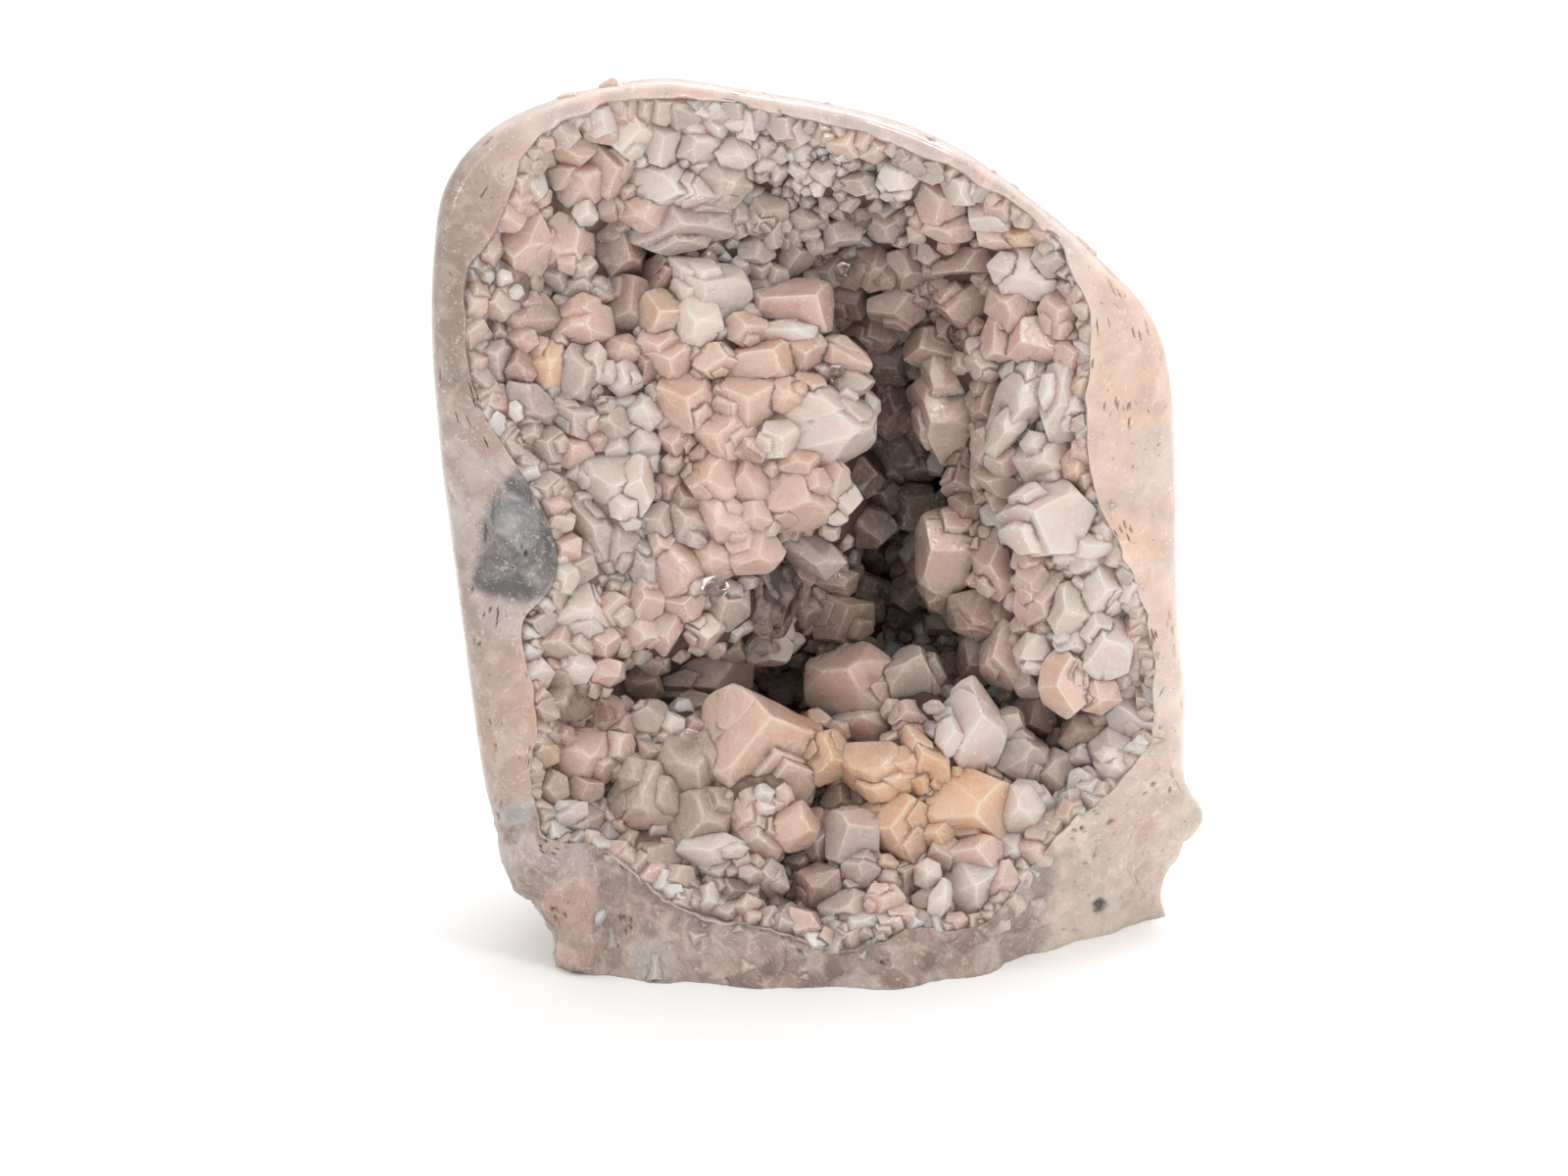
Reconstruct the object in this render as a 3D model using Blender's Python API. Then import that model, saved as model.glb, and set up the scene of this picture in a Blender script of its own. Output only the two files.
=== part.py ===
"""Pink amethyst geode: one free-standing stone, sawn flat underneath, with a polished rim round a hollow.

Two solids: the rind, which is the stone body with its bowl-shaped hollow, and the crystal crust, which
lines the hollow. The hollow opens towards -Y. Metres, +Z up; the origin is under the middle of the
stone's box, on the sawn base.

Places on the front are given in millimetres as they are seen from VIEWPOINT, a little above the stone:
across and up in the rim's plane, and then how far behind the front surface. The lists below hold the
shapes that were chosen by eye: two outlines, the lie of the front surface, and the larger crystals.
"""

import math

import bmesh
import bpy
import numpy as np
from mathutils import Matrix, Vector, noise
from mathutils.geometry import delaunay_2d_cdt

MM = 0.001

# The place that the front is laid out from: in front of the rim's plane (y = 0) and above the base (z = 0)
VIEWPOINT = (-4.1, -471.0, 179.9)

# Overall sizes, millimetres
BACK_DEPTH = 58.0        # the back of the stone, behind the rim's plane
BACK_TAPER = 0.32        # how much of the back's narrowing is an even taper; the rest is a round dome
BOWL_DEPTH = 47.0        # the deepest point of the rind's hollow
BOWL_EDGE = 2.5          # how deep the hollow already is at its edge
BOWL_ROUNDNESS = 2.6     # the higher, the flatter the hollow's bottom and the steeper its sides
CRUST_GAP = 0.4          # clearance between the crust and the rind
FLOOR_COVER = 2.0        # least thickness of the crust where it has no crystals
CRUST_OVERSIZE = 1.03    # how much wider than the hollow the crust is made, before it is trimmed to fit
ENVELOPE_REACH = 14.0    # how far the trimming envelope stands out in front of the stone
RIM_ROUNDING = 4.5       # how far the polished rim rolls back at the outline
CENTRE = (-2.0, 60.0)    # the middle of the front, that both outlines go round
MIDDLE = (0.9, 25.36)    # the middle of the stone's box, across and in depth, where the origin is

# How finely the solids are faceted
SEGMENTS = 56
BOWL_RINGS = 6
RIM_RINGS = (0.3, 0.62, 0.86, 1.0)
BACK_RINGS = 8
FLOOR_SPACING = 4.6      # distance between the corners of the crust's floor
SMALLEST_SOLID = 2.3     # crystals with a smaller half width only shape the crust's floor
FLAT_ENOUGH = math.radians(1.2)

# The stone's outline, seen from the front: across and up. Below up = 0 it runs on under the sawn base.
OUTLINE = [
    (-36.0, 6.5), (-38.6, 10.4), (-41.2, 12.8), (-42.8, 20.0), (-44.6, 30.0), (-46.1, 44.0), (-47.5, 58.0),
    (-48.9, 72.0), (-49.7, 86.0), (-49.1, 99.0), (-47.2, 107.4), (-41.6, 114.0), (-33.0, 118.1),
    (-20.5, 120.7), (-8.0, 119.1), (6.0, 116.5), (17.0, 112.4), (28.0, 105.0), (37.2, 96.9), (43.7, 89.2),
    (46.3, 80.0), (47.2, 66.0), (47.9, 50.0), (49.3, 39.0), (49.2, 31.5), (49.6, 26.5), (51.9, 22.0),
    (48.6, 16.5),
    (46.6, 11.0), (47.8, 4.0), (38.0, -6.0), (22.0, -13.0), (2.0, -16.0), (-18.0, -13.0), (-31.0, -6.0),
    (-33.8, 0.5),
]

# The edge of the hollow, where the crystals meet the polished rim
HOLLOW_EDGE = [
    (-38.0, 25.0), (-37.0, 34.0), (-38.0, 43.0), (-38.0, 49.0), (-34.0, 55.0), (-34.5, 62.0), (-38.0, 69.0),
    (-43.0, 77.0), (-45.5, 86.0), (-44.5, 96.0), (-40.5, 103.5), (-37.0, 111.0), (-31.0, 115.8),
    (-22.0, 118.4), (-10.0, 117.4), (4.0, 114.6), (14.0, 110.6), (22.5, 106.6), (29.5, 101.5), (34.0, 95.0),
    (36.0, 87.0), (35.4, 77.0), (36.6, 68.0), (40.5, 59.0), (43.6, 50.0), (45.2, 41.0), (44.8, 32.0),
    (39.5, 25.5), (34.0, 20.5), (29.0, 14.5), (23.0, 6.6), (13.0, 5.8), (3.0, 3.6), (-6.0, 7.0),
    (-16.0, 9.0), (-27.0, 16.5), (-35.0, 19.0),
]

# The lie of the front surface: across, up, and depth behind the rim's plane
FRONT = [
    (-40, 104, 0), (-20, 117, 0), (2, 113, 0), (20, 106, 0.5), (36, 92, 1.5), (43, 84, 4), (-46, 84, 0),
    (-44, 60, 0), (-42, 40, -0.5), (-39, 22, -1.5), (-35, 8, -1.5), (-32, -1, -2.6), (-20, -2, -5.5),
    (-6, -3, -7.6), (9, -3, -8.1), (21, 0, -3.5), (30.5, 2.6, 7), (38, 4.5, 13), (45, 7.6, 20.7),
    (50, 22, 13), (47, 35, 9), (46, 50, 6), (45, 65, 5.5), (40, 60, 1.5), (36, 74, 1), (42, 70, 4),
    (34, 40, 1), (42, 30, 5), (32, 20, 2), (38, 14, 8), (22, 10, -2), (26, 60, 0), (-24, 12, -3.5),
    (4, 12, -5.5), (-8, 24, -3), (14, 26, -2), (0, 44, 0), (0, 60, 0), (-20, 60, 0), (0, 85, 0),
    (-25, 85, 0), (18, 85, 0), (-20, -16, -3), (8, -18, -5), (30, -12, 6), (46, -4, 20),
]

# The larger crystals, from the rim inwards. Each is: across, up, half width, half height, turn in
# degrees, how far the tip leans across and up, and how far its crest lies behind the front surface.
SHELF_UPPER_LEFT = [
    (-38.0, 99.0, 4.3, 4.9, 0, 0.4, -0.6, 2.2), (-32.5, 99.8, 3.2, 4.1, 0, 0.6, -0.8, 3.4),
    (-30.2, 107.0, 5.3, 3.5, 0, 0.0, 0.6, 3.0), (-31.3, 112.6, 3.1, 2.9, 0, 0.0, 0.3, 1.2),
    (-26.4, 109.3, 3.2, 4.1, 20, 0.6, 0.0, 3.0), (-23.6, 114.3, 3.3, 3.7, 0, 0.5, 0.0, 1.4),
    (-19.6, 113.0, 3.1, 3.4, 0, 0.0, 0.2, 2.2), (-19.0, 107.3, 4.9, 3.4, -5, 0.6, 0.0, 3.0),
    (-14.6, 112.5, 2.9, 2.5, 0, 0.0, 0.3, 2.2), (-11.7, 107.5, 3.3, 3.1, 0, 0.5, -0.3, 4.0),
    (-17.3, 102.4, 7.4, 3.3, 5, 0.4, -1.0, 4.6), (-26.3, 99.0, 3.8, 4.7, 0, 0.5, -1.0, 6.4),
    (-37.0, 107.2, 2.4, 2.3, 0, 0.0, 0.0, 1.6), (-41.0, 92.0, 2.6, 2.6, 0, 0.0, 0.0, 1.2),
]
ROW_LEFT = [
    (-37.5, 89.6, 4.2, 3.3, 0, 0.2, 0.3, 2.0), (-30.3, 89.0, 3.8, 3.1, 0, 0.5, 0.0, 2.6),
    (-30.0, 93.5, 3.5, 2.5, 0, 0.3, 0.8, 4.4), (-24.3, 91.0, 3.5, 4.1, 0, 0.3, -0.4, 6.0),
    (-34.7, 83.6, 2.5, 3.0, 0, 0.0, 0.0, 1.8), (-31.0, 82.6, 2.5, 3.5, 0, 0.0, 0.0, 2.0),
    (-25.0, 85.6, 2.9, 1.9, 0, 0.0, 0.3, 4.0), (-24.7, 81.9, 2.3, 2.3, 0, 0.0, 0.0, 3.4),
    (-42.4, 84.0, 3.0, 3.0, 0, 0.0, 0.0, 0.8), (-37.5, 78.5, 3.6, 2.6, -35, 0.0, 0.0, 0.8),
    (-31.4, 76.6, 3.2, 2.2, -35, 0.0, 0.0, 1.6), (-31.4, 72.0, 2.3, 2.0, 0, 0.0, 0.0, 2.0),
    (-34.8, 67.4, 4.0, 2.2, -50, 0.0, 0.0, 1.0), (-26.2, 68.1, 5.2, 4.3, -20, 0.3, 0.0, 1.0),
    (-29.0, 61.6, 5.0, 2.2, -55, 0.0, 0.0, 1.6), (-25.6, 59.6, 2.4, 3.0, 10, 0.0, 0.0, 2.4),
    (-31.4, 56.4, 2.6, 2.4, 0, 0.0, 0.0, 1.4), (-22.5, 56.6, 2.2, 3.6, 15, 0.0, 0.0, 2.8),
]
MOUND = [
    (-18.0, 95.0, 4.8, 3.3, 10, 0.3, 1.0, 7.4), (-13.5, 92.3, 4.8, 4.3, 0, 0.4, 0.8, 4.0),
    (-15.2, 89.3, 3.0, 3.1, 0, 0.0, 0.3, 2.0), (-19.2, 89.7, 3.3, 3.2, 0, -0.4, 0.2, 3.0),
    (-18.8, 84.4, 3.6, 3.0, 0, -0.2, 0.0, 2.4), (-7.0, 93.2, 2.2, 2.2, 0, 0.0, 0.3, 9.0),
    (-3.2, 90.5, 4.8, 3.7, 0, 0.6, 0.6, 5.6), (-4.3, 88.0, 4.0, 1.4, 0, 0.0, 0.0, 4.2),
    (-1.7, 85.2, 3.1, 2.6, 0, 0.3, 0.2, 4.2), (3.6, 84.7, 3.5, 2.1, -25, 1.8, -0.6, 5.4),
    (4.2, 81.3, 3.1, 2.0, 0, 1.8, -0.2, 5.8), (-7.2, 83.4, 4.3, 3.4, 0, 0.2, 0.8, 1.8),
    (0.9, 75.2, 6.2, 4.9, -5, 2.0, 0.0, 0.6), (-4.9, 73.7, 2.5, 2.2, 0, 0.0, 0.0, 0.2),
    (-8.3, 79.0, 4.3, 3.3, 0, 0.0, 0.0, 1.0), (-16.6, 78.7, 4.0, 3.7, 0, -0.3, 0.0, 1.4),
    (-12.2, 74.3, 3.3, 3.0, 0, 0.0, 0.0, 0.8), (-13.0, 68.3, 3.2, 3.3, 0, 0.0, 0.0, 1.0),
    (-8.4, 67.6, 2.6, 3.5, 0, 0.0, 0.0, 1.2), (-3.0, 66.3, 5.3, 4.3, 0, 0.5, -0.5, 0.8),
    (2.0, 68.7, 2.2, 3.2, 15, 0.9, 0.0, 3.4), (3.2, 65.8, 2.4, 2.3, -30, 1.2, -0.7, 4.8),
    (-22.4, 77.2, 2.3, 2.3, 0, 0.0, 0.0, 3.0), (-22.4, 73.2, 2.1, 2.1, 0, 0.0, 0.0, 3.4),
    (-18.1, 73.6, 2.3, 2.5, 0, 0.0, 0.0, 3.2), (-19.4, 67.2, 2.3, 2.5, 0, 0.0, 0.0, 3.8),
    (-16.8, 62.3, 3.5, 2.4, -50, 0.0, 0.0, 2.0), (-12.0, 62.8, 3.8, 2.6, -40, 0.2, -0.2, 1.4),
    (-8.0, 58.7, 3.7, 2.9, 0, 0.4, -0.4, 2.4), (-12.8, 57.6, 2.9, 2.9, 0, 0.2, -0.2, 2.2),
    (-17.6, 56.0, 3.5, 3.8, 0, 0.0, -0.2, 2.2), (-17.3, 51.6, 2.6, 2.3, 0, 0.0, -0.4, 3.2),
    (-22.3, 52.2, 2.3, 3.0, 0, 0.0, 0.0, 2.8), (-23.0, 48.0, 3.2, 2.6, 0, 0.3, -0.8, 3.8),
    (-19.7, 47.8, 2.4, 3.1, 0, 0.2, -0.9, 4.2), (-14.8, 48.0, 2.6, 2.4, 0, 0.2, -0.6, 4.6),
    (-11.6, 51.6, 2.7, 3.3, 0, 0.4, -0.6, 4.2), (-6.0, 52.0, 3.9, 4.7, 0, 0.6, -0.4, 6.6),
    (-0.6, 58.9, 4.5, 2.4, -30, 1.2, -0.7, 10.5), (-2.8, 56.0, 2.8, 2.2, 0, 0.0, 0.0, 16.0),
]
LIP_LOWER_LEFT = [
    (-31.6, 50.2, 3.6, 3.4, 20, 0.2, 0.0, 0.8), (-27.2, 50.7, 3.0, 2.4, 0, 0.2, 0.0, 2.4),
    (-34.5, 46.2, 3.6, 2.4, 0, 0.0, 0.0, 0.6), (-31.4, 42.8, 2.3, 2.2, 0, 0.0, 0.0, 1.0),
    (-28.1, 46.3, 2.2, 2.2, 0, 0.2, 0.0, 2.4), (-28.0, 42.0, 2.4, 1.9, 0, 0.3, 0.0, 2.8),
    (-33.8, 38.0, 3.0, 2.6, 0, 0.0, 0.0, 1.0), (-27.8, 36.6, 2.2, 2.7, 0, 0.3, 0.0, 4.0),
    (-31.4, 30.4, 4.4, 4.1, 20, 0.8, -0.5, 2.2), (-35.4, 26.0, 2.4, 2.4, 0, 0.0, 0.0, 1.4),
    (-26.8, 31.6, 2.5, 2.2, 0, 0.4, 0.0, 4.2), (-31.8, 20.6, 3.2, 2.8, 0, 0.0, 0.0, 1.6),
    (-22.0, 35.8, 2.6, 2.4, 0, 0.0, 0.6, 5.6), (-22.8, 24.6, 4.4, 5.0, 0, 0.0, 0.2, 2.2),
    (-17.0, 28.6, 4.4, 5.4, 0, 0.0, 0.4, 3.6), (-15.0, 20.4, 4.8, 5.2, 0, 0.0, -0.4, 2.2),
    (-7.3, 31.8, 7.4, 7.6, 0, 0.2, 0.8, 2.4), (-7.9, 19.2, 3.8, 3.9, 0, 0.3, -0.4, 2.2),
    (-3.2, 20.6, 3.5, 3.3, 0, 1.2, 0.0, 2.4), (-10.6, 10.9, 2.9, 2.6, 0, 0.3, 0.0, 1.0),
    (1.4, 30.2, 3.1, 3.6, 0, 0.4, 0.3, 4.2), (-21.6, 15.2, 3.6, 2.8, 0, 0.0, 0.0, 1.2),
]
DEEP_CLEFT = [
    (3.2, 101.0, 2.4, 1.8, 0, 0.0, 0.0, 10.0), (9.0, 102.4, 3.1, 2.4, 0, 0.0, -0.2, 9.0),
    (7.4, 96.4, 2.6, 2.9, 0, 0.0, 0.0, 12.5), (11.6, 96.3, 2.7, 2.8, 0, 0.0, 0.0, 12.5),
    (4.4, 92.3, 2.5, 2.5, 0, 0.0, 0.0, 18.0), (10.4, 91.3, 3.4, 2.4, 0, 0.0, -0.5, 14.5),
    (7.5, 88.2, 3.3, 2.3, 0, 0.0, 0.0, 19.0), (1.4, 96.2, 2.2, 2.3, 0, 0.0, 0.0, 15.0),
    (-3.2, 97.5, 3.1, 2.0, 40, 0.3, 0.0, 11.0), (-7.6, 98.8, 2.2, 2.0, 0, 0.0, 0.0, 8.6),
    (-6.2, 103.6, 2.4, 2.4, 0, 0.0, 0.0, 6.0), (9.0, 83.8, 3.1, 2.7, 0, 0.0, 0.0, 22.0),
    (10.0, 77.8, 3.1, 3.6, 0, 0.0, 0.0, 23.0), (11.5, 71.6, 4.3, 3.5, 0, 0.0, 0.0, 27.0),
    (6.0, 68.4, 2.7, 2.7, 0, 0.3, 0.0, 21.0), (9.4, 65.6, 2.9, 2.9, 0, 0.0, 0.0, 27.0),
    (6.6, 62.0, 3.8, 2.6, -20, 0.6, -0.3, 23.0), (13.6, 64.4, 2.8, 2.9, 0, 0.0, 0.0, 26.0),
    (3.3, 49.4, 4.1, 3.5, 0, 0.2, 0.4, 22.0), (2.3, 54.6, 3.1, 2.0, 0, 0.0, 0.0, 23.0),
    (12.6, 53.0, 2.6, 2.6, 0, 0.0, 0.0, 30.0), (-6.3, 45.6, 3.0, 2.2, 0, 0.0, -0.3, 12.5),
    (-14.6, 41.6, 5.8, 3.7, 0, 0.4, -0.3, 15.0), (-23.3, 40.8, 2.9, 3.0, 0, 0.0, 0.0, 11.5),
]
WALL_RIGHT = [
    (10.8, 108.5, 2.6, 1.9, 10, 0.0, 0.0, 1.6), (16.3, 105.4, 3.6, 3.3, 0, 0.0, -0.3, 3.4),
    (17.2, 101.6, 3.4, 1.9, 0, 0.0, -0.5, 5.2), (23.1, 103.4, 3.2, 3.0, -30, 0.0, 0.0, 2.0),
    (23.8, 100.4, 2.8, 1.8, 0, 0.0, -0.4, 3.2), (20.1, 97.4, 4.8, 2.1, 15, 0.0, 0.0, 7.5),
    (27.6, 95.7, 4.2, 3.5, 10, -0.3, 0.0, 1.4), (25.5, 91.3, 3.0, 3.0, 0, -0.4, 0.0, 3.6),
    (19.6, 91.6, 3.7, 3.2, 0, -0.4, 0.0, 9.5), (24.0, 87.3, 2.4, 3.0, 0, -0.2, 0.0, 6.4),
    (28.6, 86.9, 3.5, 2.9, 0, 0.0, 0.0, 3.0), (27.2, 78.9, 6.8, 3.5, 58, -0.3, -0.3, 2.4),
    (32.0, 78.6, 2.7, 5.0, 0, 0.0, 0.0, 0.8), (22.8, 78.9, 2.7, 3.4, 0, -0.3, 0.0, 9.5),
    (17.2, 77.6, 4.1, 6.2, 0, -1.0, -0.3, 12.5), (16.0, 86.0, 4.1, 2.5, 0, 0.0, 0.0, 14.5),
    (24.6, 70.9, 2.3, 1.9, 0, 0.0, 0.0, 6.4), (30.5, 71.2, 4.3, 3.8, 0, -0.2, 0.0, 1.8),
    (23.8, 68.0, 3.1, 1.7, -20, 0.0, 0.0, 8.0), (19.4, 68.3, 2.7, 2.4, 0, 0.0, 0.0, 14.5),
    (20.4, 64.6, 2.8, 2.0, 0, 0.0, 0.0, 14.0), (30.4, 63.4, 5.9, 4.9, -5, -2.0, 0.2, -1.5),
    (17.9, 58.2, 3.8, 5.0, 0, -1.0, 0.2, 12.5), (24.0, 56.8, 2.8, 4.2, 0, -0.3, 0.0, 8.6),
    (16.4, 53.4, 2.8, 3.0, 0, -0.3, 0.0, 17.5), (22.5, 50.4, 4.2, 3.1, 0, -0.3, -0.7, 11.5),
    (30.2, 53.0, 3.6, 4.1, 0, -0.3, 0.0, 5.0), (33.8, 50.4, 3.0, 3.9, 0, -0.2, 0.0, 2.0),
    (38.4, 54.0, 3.2, 4.0, -20, 0.0, 0.0, 0.6), (25.3, 44.9, 3.0, 4.7, 0, -0.4, 0.0, 9.5),
    (29.0, 44.9, 2.4, 2.4, 0, 0.0, 0.0, 5.6), (21.9, 44.0, 2.7, 3.6, 0, 0.0, 0.0, 15.5),
    (33.0, 40.8, 3.1, 4.6, 10, -0.3, -0.3, 3.0), (38.3, 45.6, 3.7, 4.6, 0, 0.0, 0.0, 1.0),
    (42.3, 46.0, 2.6, 3.6, 20, 0.0, 0.0, 1.2), (37.7, 39.0, 2.8, 2.5, 0, 0.0, 0.0, 3.4),
    (42.4, 35.8, 3.4, 2.8, 0, 0.0, 0.2, 2.0), (35.6, 34.1, 2.9, 2.7, 0, -0.2, 0.0, 7.0),
    (29.5, 36.4, 3.6, 3.1, 0, 0.0, 0.0, 13.0), (40.6, 31.0, 3.8, 3.3, 0, 0.0, 0.2, 2.4),
]
FLOOR_LOWER_RIGHT = [
    (21.0, 33.8, 4.1, 6.1, -5, -0.2, 1.0, 3.6), (25.8, 34.6, 2.1, 2.5, 0, 0.3, 0.3, 7.6),
    (27.4, 29.8, 3.4, 3.4, 0, 0.2, 0.2, 5.4), (14.6, 30.2, 4.1, 2.2, -52, -0.2, 0.3, 4.0),
    (8.5, 28.6, 5.6, 3.6, -5, 0.0, 0.3, 4.0), (12.7, 35.8, 2.6, 2.3, 0, 0.0, 0.5, 8.5),
    (12.6, 41.2, 3.5, 4.1, 0, 0.5, 0.6, 11.5), (5.0, 40.2, 5.7, 5.1, 0, -0.4, 1.0, 10.5),
    (7.3, 34.1, 4.1, 2.5, 0, 0.0, 0.3, 11.5), (31.8, 27.8, 3.0, 3.4, 0, 0.0, 0.0, 5.4),
    (28.6, 22.6, 3.5, 3.2, 0, 0.0, 0.0, 2.2), (20.6, 23.2, 5.3, 5.0, 0, 0.0, 0.6, 1.8),
    (10.9, 20.5, 4.9, 4.6, 20, -0.4, 0.6, 2.6), (5.1, 18.6, 3.3, 4.1, 0, -0.3, 0.0, 4.0),
    (3.4, 24.2, 2.1, 2.1, 0, 0.0, 0.0, 8.5), (0.4, 18.2, 3.2, 4.1, 0, 0.0, 0.0, 7.0),
    (1.0, 11.8, 3.0, 2.9, 0, 0.0, 0.0, 4.6), (21.3, 12.2, 4.8, 4.4, 0, -0.2, 0.2, 0.6),
    (17.4, 16.4, 2.2, 2.5, 0, 0.0, 0.0, 2.6), (12.0, 12.9, 2.3, 2.5, 0, 0.0, 0.0, 4.2),
    (4.6, 8.2, 3.5, 3.2, 0, 0.0, 0.2, 0.6), (36.6, 26.2, 2.6, 2.4, 0, 0.0, 0.0, 2.0),
]
CRYSTAL_GROUPS = (SHELF_UPPER_LEFT, ROW_LEFT, MOUND, LIP_LOWER_LEFT, DEEP_CLEFT, WALL_RIGHT,
                  FLOOR_LOWER_RIGHT)

# The crevices between the crystals: across, up, and depth behind the front surface
CREVICES = [
    (-22, 96.5, 16), (-35, 93.6, 7), (10, 62, 42), (8.5, 57.5, 42), (14, 68.4, 36), (8.5, 74, 30),
    (10.5, 47, 38), (17, 46, 33), (-6, 42, 36), (-3, 40.8, 36), (-20, 38, 22), (-29.8, 26.2, 11),
    (29, 33.6, 19), (1, 24.4, 14), (-3.6, 13.6, 10), (5, 98, 17), (3, 88.5, 23), (9, 86, 26),
    (17.5, 40.4, 26), (25, 38, 20), (13, 88, 20), (10, 81, 28), (14, 50, 36), (7, 53, 36),
]

# The shape of one crystal, as shares of its half width: how far behind its crest each ring of corners
# lies, and how wide it is there
CRYSTAL_CORNERS = 6
SHOULDER_DEPTH, SHOULDER_WIDTH = 0.55, 0.84
ROOT_DEPTH, ROOT_WIDTH = 2.8, 1.08
FLOOR_BEHIND_CREST = 1.9     # the crust's own surface lies this share of a half width behind a crest

# The natural skin of the back: low lumps, millimetres
LUMP_SIZE, LUMP_HEIGHT = 15.0, 2.8


def place(across, up, depth):
    """The point, in millimetres, that lies depth behind the rim's plane on the line of sight through
    (across, up)."""
    stretch = 1.0 + depth / -VIEWPOINT[1]
    return (VIEWPOINT[0] + (across - VIEWPOINT[0]) * stretch, depth,
            VIEWPOINT[2] + (up - VIEWPOINT[2]) * stretch)


def metres(point):
    """A point of the front's layout in metres, from the origin under the middle of the stone."""
    return Vector((point[0] - MIDDLE[0], point[1] - MIDDLE[1], point[2])) * MM


def smooth_loop(points, steps=8):
    """A closed Catmull-Rom curve through the points."""
    corners = np.array(points, float)
    before, after, beyond = np.roll(corners, 1, 0), np.roll(corners, -1, 0), np.roll(corners, -2, 0)
    curve = []
    for t in np.arange(steps) / steps:
        curve.append(0.5 * (2 * corners + (after - before) * t
                            + (2 * before - 5 * corners + 4 * after - beyond) * t ** 2
                            + (3 * corners - before - 3 * after + beyond) * t ** 3))
    return np.stack(curve, axis=1).reshape(-1, 2)


def radii(points):
    """How far an outline lies from CENTRE at each segment's angle."""
    curve = smooth_loop(points) - np.array(CENTRE)
    angles = np.arctan2(curve[:, 1], curve[:, 0])
    order = np.argsort(angles)
    wanted = segment_angles()
    wanted = (wanted + math.pi) % math.tau - math.pi
    return np.interp(wanted, angles[order], np.hypot(curve[:, 0], curve[:, 1])[order], period=math.tau)


def segment_angles():
    return np.arange(SEGMENTS) * math.tau / SEGMENTS


def weighted(points, across, up, softness, power):
    """A smooth surface through scattered depths: each counts less the further away it is."""
    weights = [1.0 / ((across - p[0]) ** 2 + (up - p[1]) ** 2 + softness ** 2) ** power for p in points]
    return sum(w * p[2] for w, p in zip(weights, points)) / sum(weights)


def front_depth(across, up):
    return weighted(FRONT, across, up, softness=5.0, power=1.8)


def crystals():
    for group in CRYSTAL_GROUPS:
        yield from group


def floor_points():
    """Where the crust's own surface runs: behind each crystal's crest, and in the crevices."""
    behind = [(c[0], c[1], c[7] + FLOOR_BEHIND_CREST * min(c[2], c[3])) for c in crystals()]
    return behind + CREVICES


def bowl_depth(across, up, share):
    """The rind's hollow: shallow at its edge (share 1) and deepest in the middle."""
    return front_depth(across, up) + BOWL_EDGE + (BOWL_DEPTH - BOWL_EDGE) * (1.0 - share ** BOWL_ROUNDNESS)


def front_ring(radius, depth_at):
    """One ring of points at the given distances from CENTRE, each at the depth depth_at gives there."""
    ring = []
    for distance, angle in zip(radius, segment_angles()):
        across = CENTRE[0] + distance * math.cos(angle)
        up = CENTRE[1] + distance * math.sin(angle)
        ring.append(place(across, up, depth_at(across, up)))
    return ring


def skin(name, rings):
    """A mesh object over rings of points. The last ring, and the first too unless it is None, close on a
    single point."""
    mesh = bmesh.new()
    rows = [[mesh.verts.new(metres(p)) for p in ring] for ring in rings[1:-1]]
    last = mesh.verts.new(metres(rings[-1]))
    first = mesh.verts.new(metres(rings[0])) if rings[0] else None
    for j in range(SEGMENTS):
        k = (j + 1) % SEGMENTS
        if first:
            mesh.faces.new((first, rows[0][j], rows[0][k]))
        mesh.faces.new((last, rows[-1][k], rows[-1][j]))
        for near, far in zip(rows, rows[1:]):
            mesh.faces.new((near[j], far[j], far[k], near[k]))
    bmesh.ops.triangulate(mesh, faces=mesh.faces)
    bmesh.ops.recalc_face_normals(mesh, faces=mesh.faces)
    return to_object(name, mesh)


def to_object(name, mesh):
    data = bpy.data.meshes.new(name)
    mesh.to_mesh(data)
    mesh.free()
    return bpy.data.objects.new(name, data)


def material(name, colour, roughness):
    made = bpy.data.materials.new(name)
    made.use_nodes = True
    shader = made.node_tree.nodes["Principled BSDF"]
    shader.inputs["Base Color"].default_value = (*colour, 1.0)
    shader.inputs["Roughness"].default_value = roughness
    shader.inputs["Metallic"].default_value = 0.0
    return made


def lumpy(point, share):
    """Moves a point of the back in or out, less near the rim, so that the natural skin has low lumps."""
    middle = Vector((CENTRE[0], point[1], CENTRE[1]))
    outward = Vector(point) - middle
    height = LUMP_HEIGHT * min(1.0, 2.5 * share) * noise.noise(Vector(point) / LUMP_SIZE)
    return Vector(point) + outward.normalized() * height


def back_ring(edge, share):
    """A ring of the domed back. It leaves the rim at a slope, and closes on a point at BACK_DEPTH."""
    narrowing = BACK_TAPER * share + (1.0 - BACK_TAPER) * share ** 2.8
    ring = []
    for x, y, z in edge:
        depth = y + (BACK_DEPTH - y) * math.sin(share * math.pi / 2) ** 0.9
        point = (CENTRE[0] + (x - CENTRE[0]) * (1.0 - narrowing), depth,
                 CENTRE[1] + (z - CENTRE[1]) * (1.0 - narrowing))
        ring.append(lumpy(point, share))
    return ring


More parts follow.
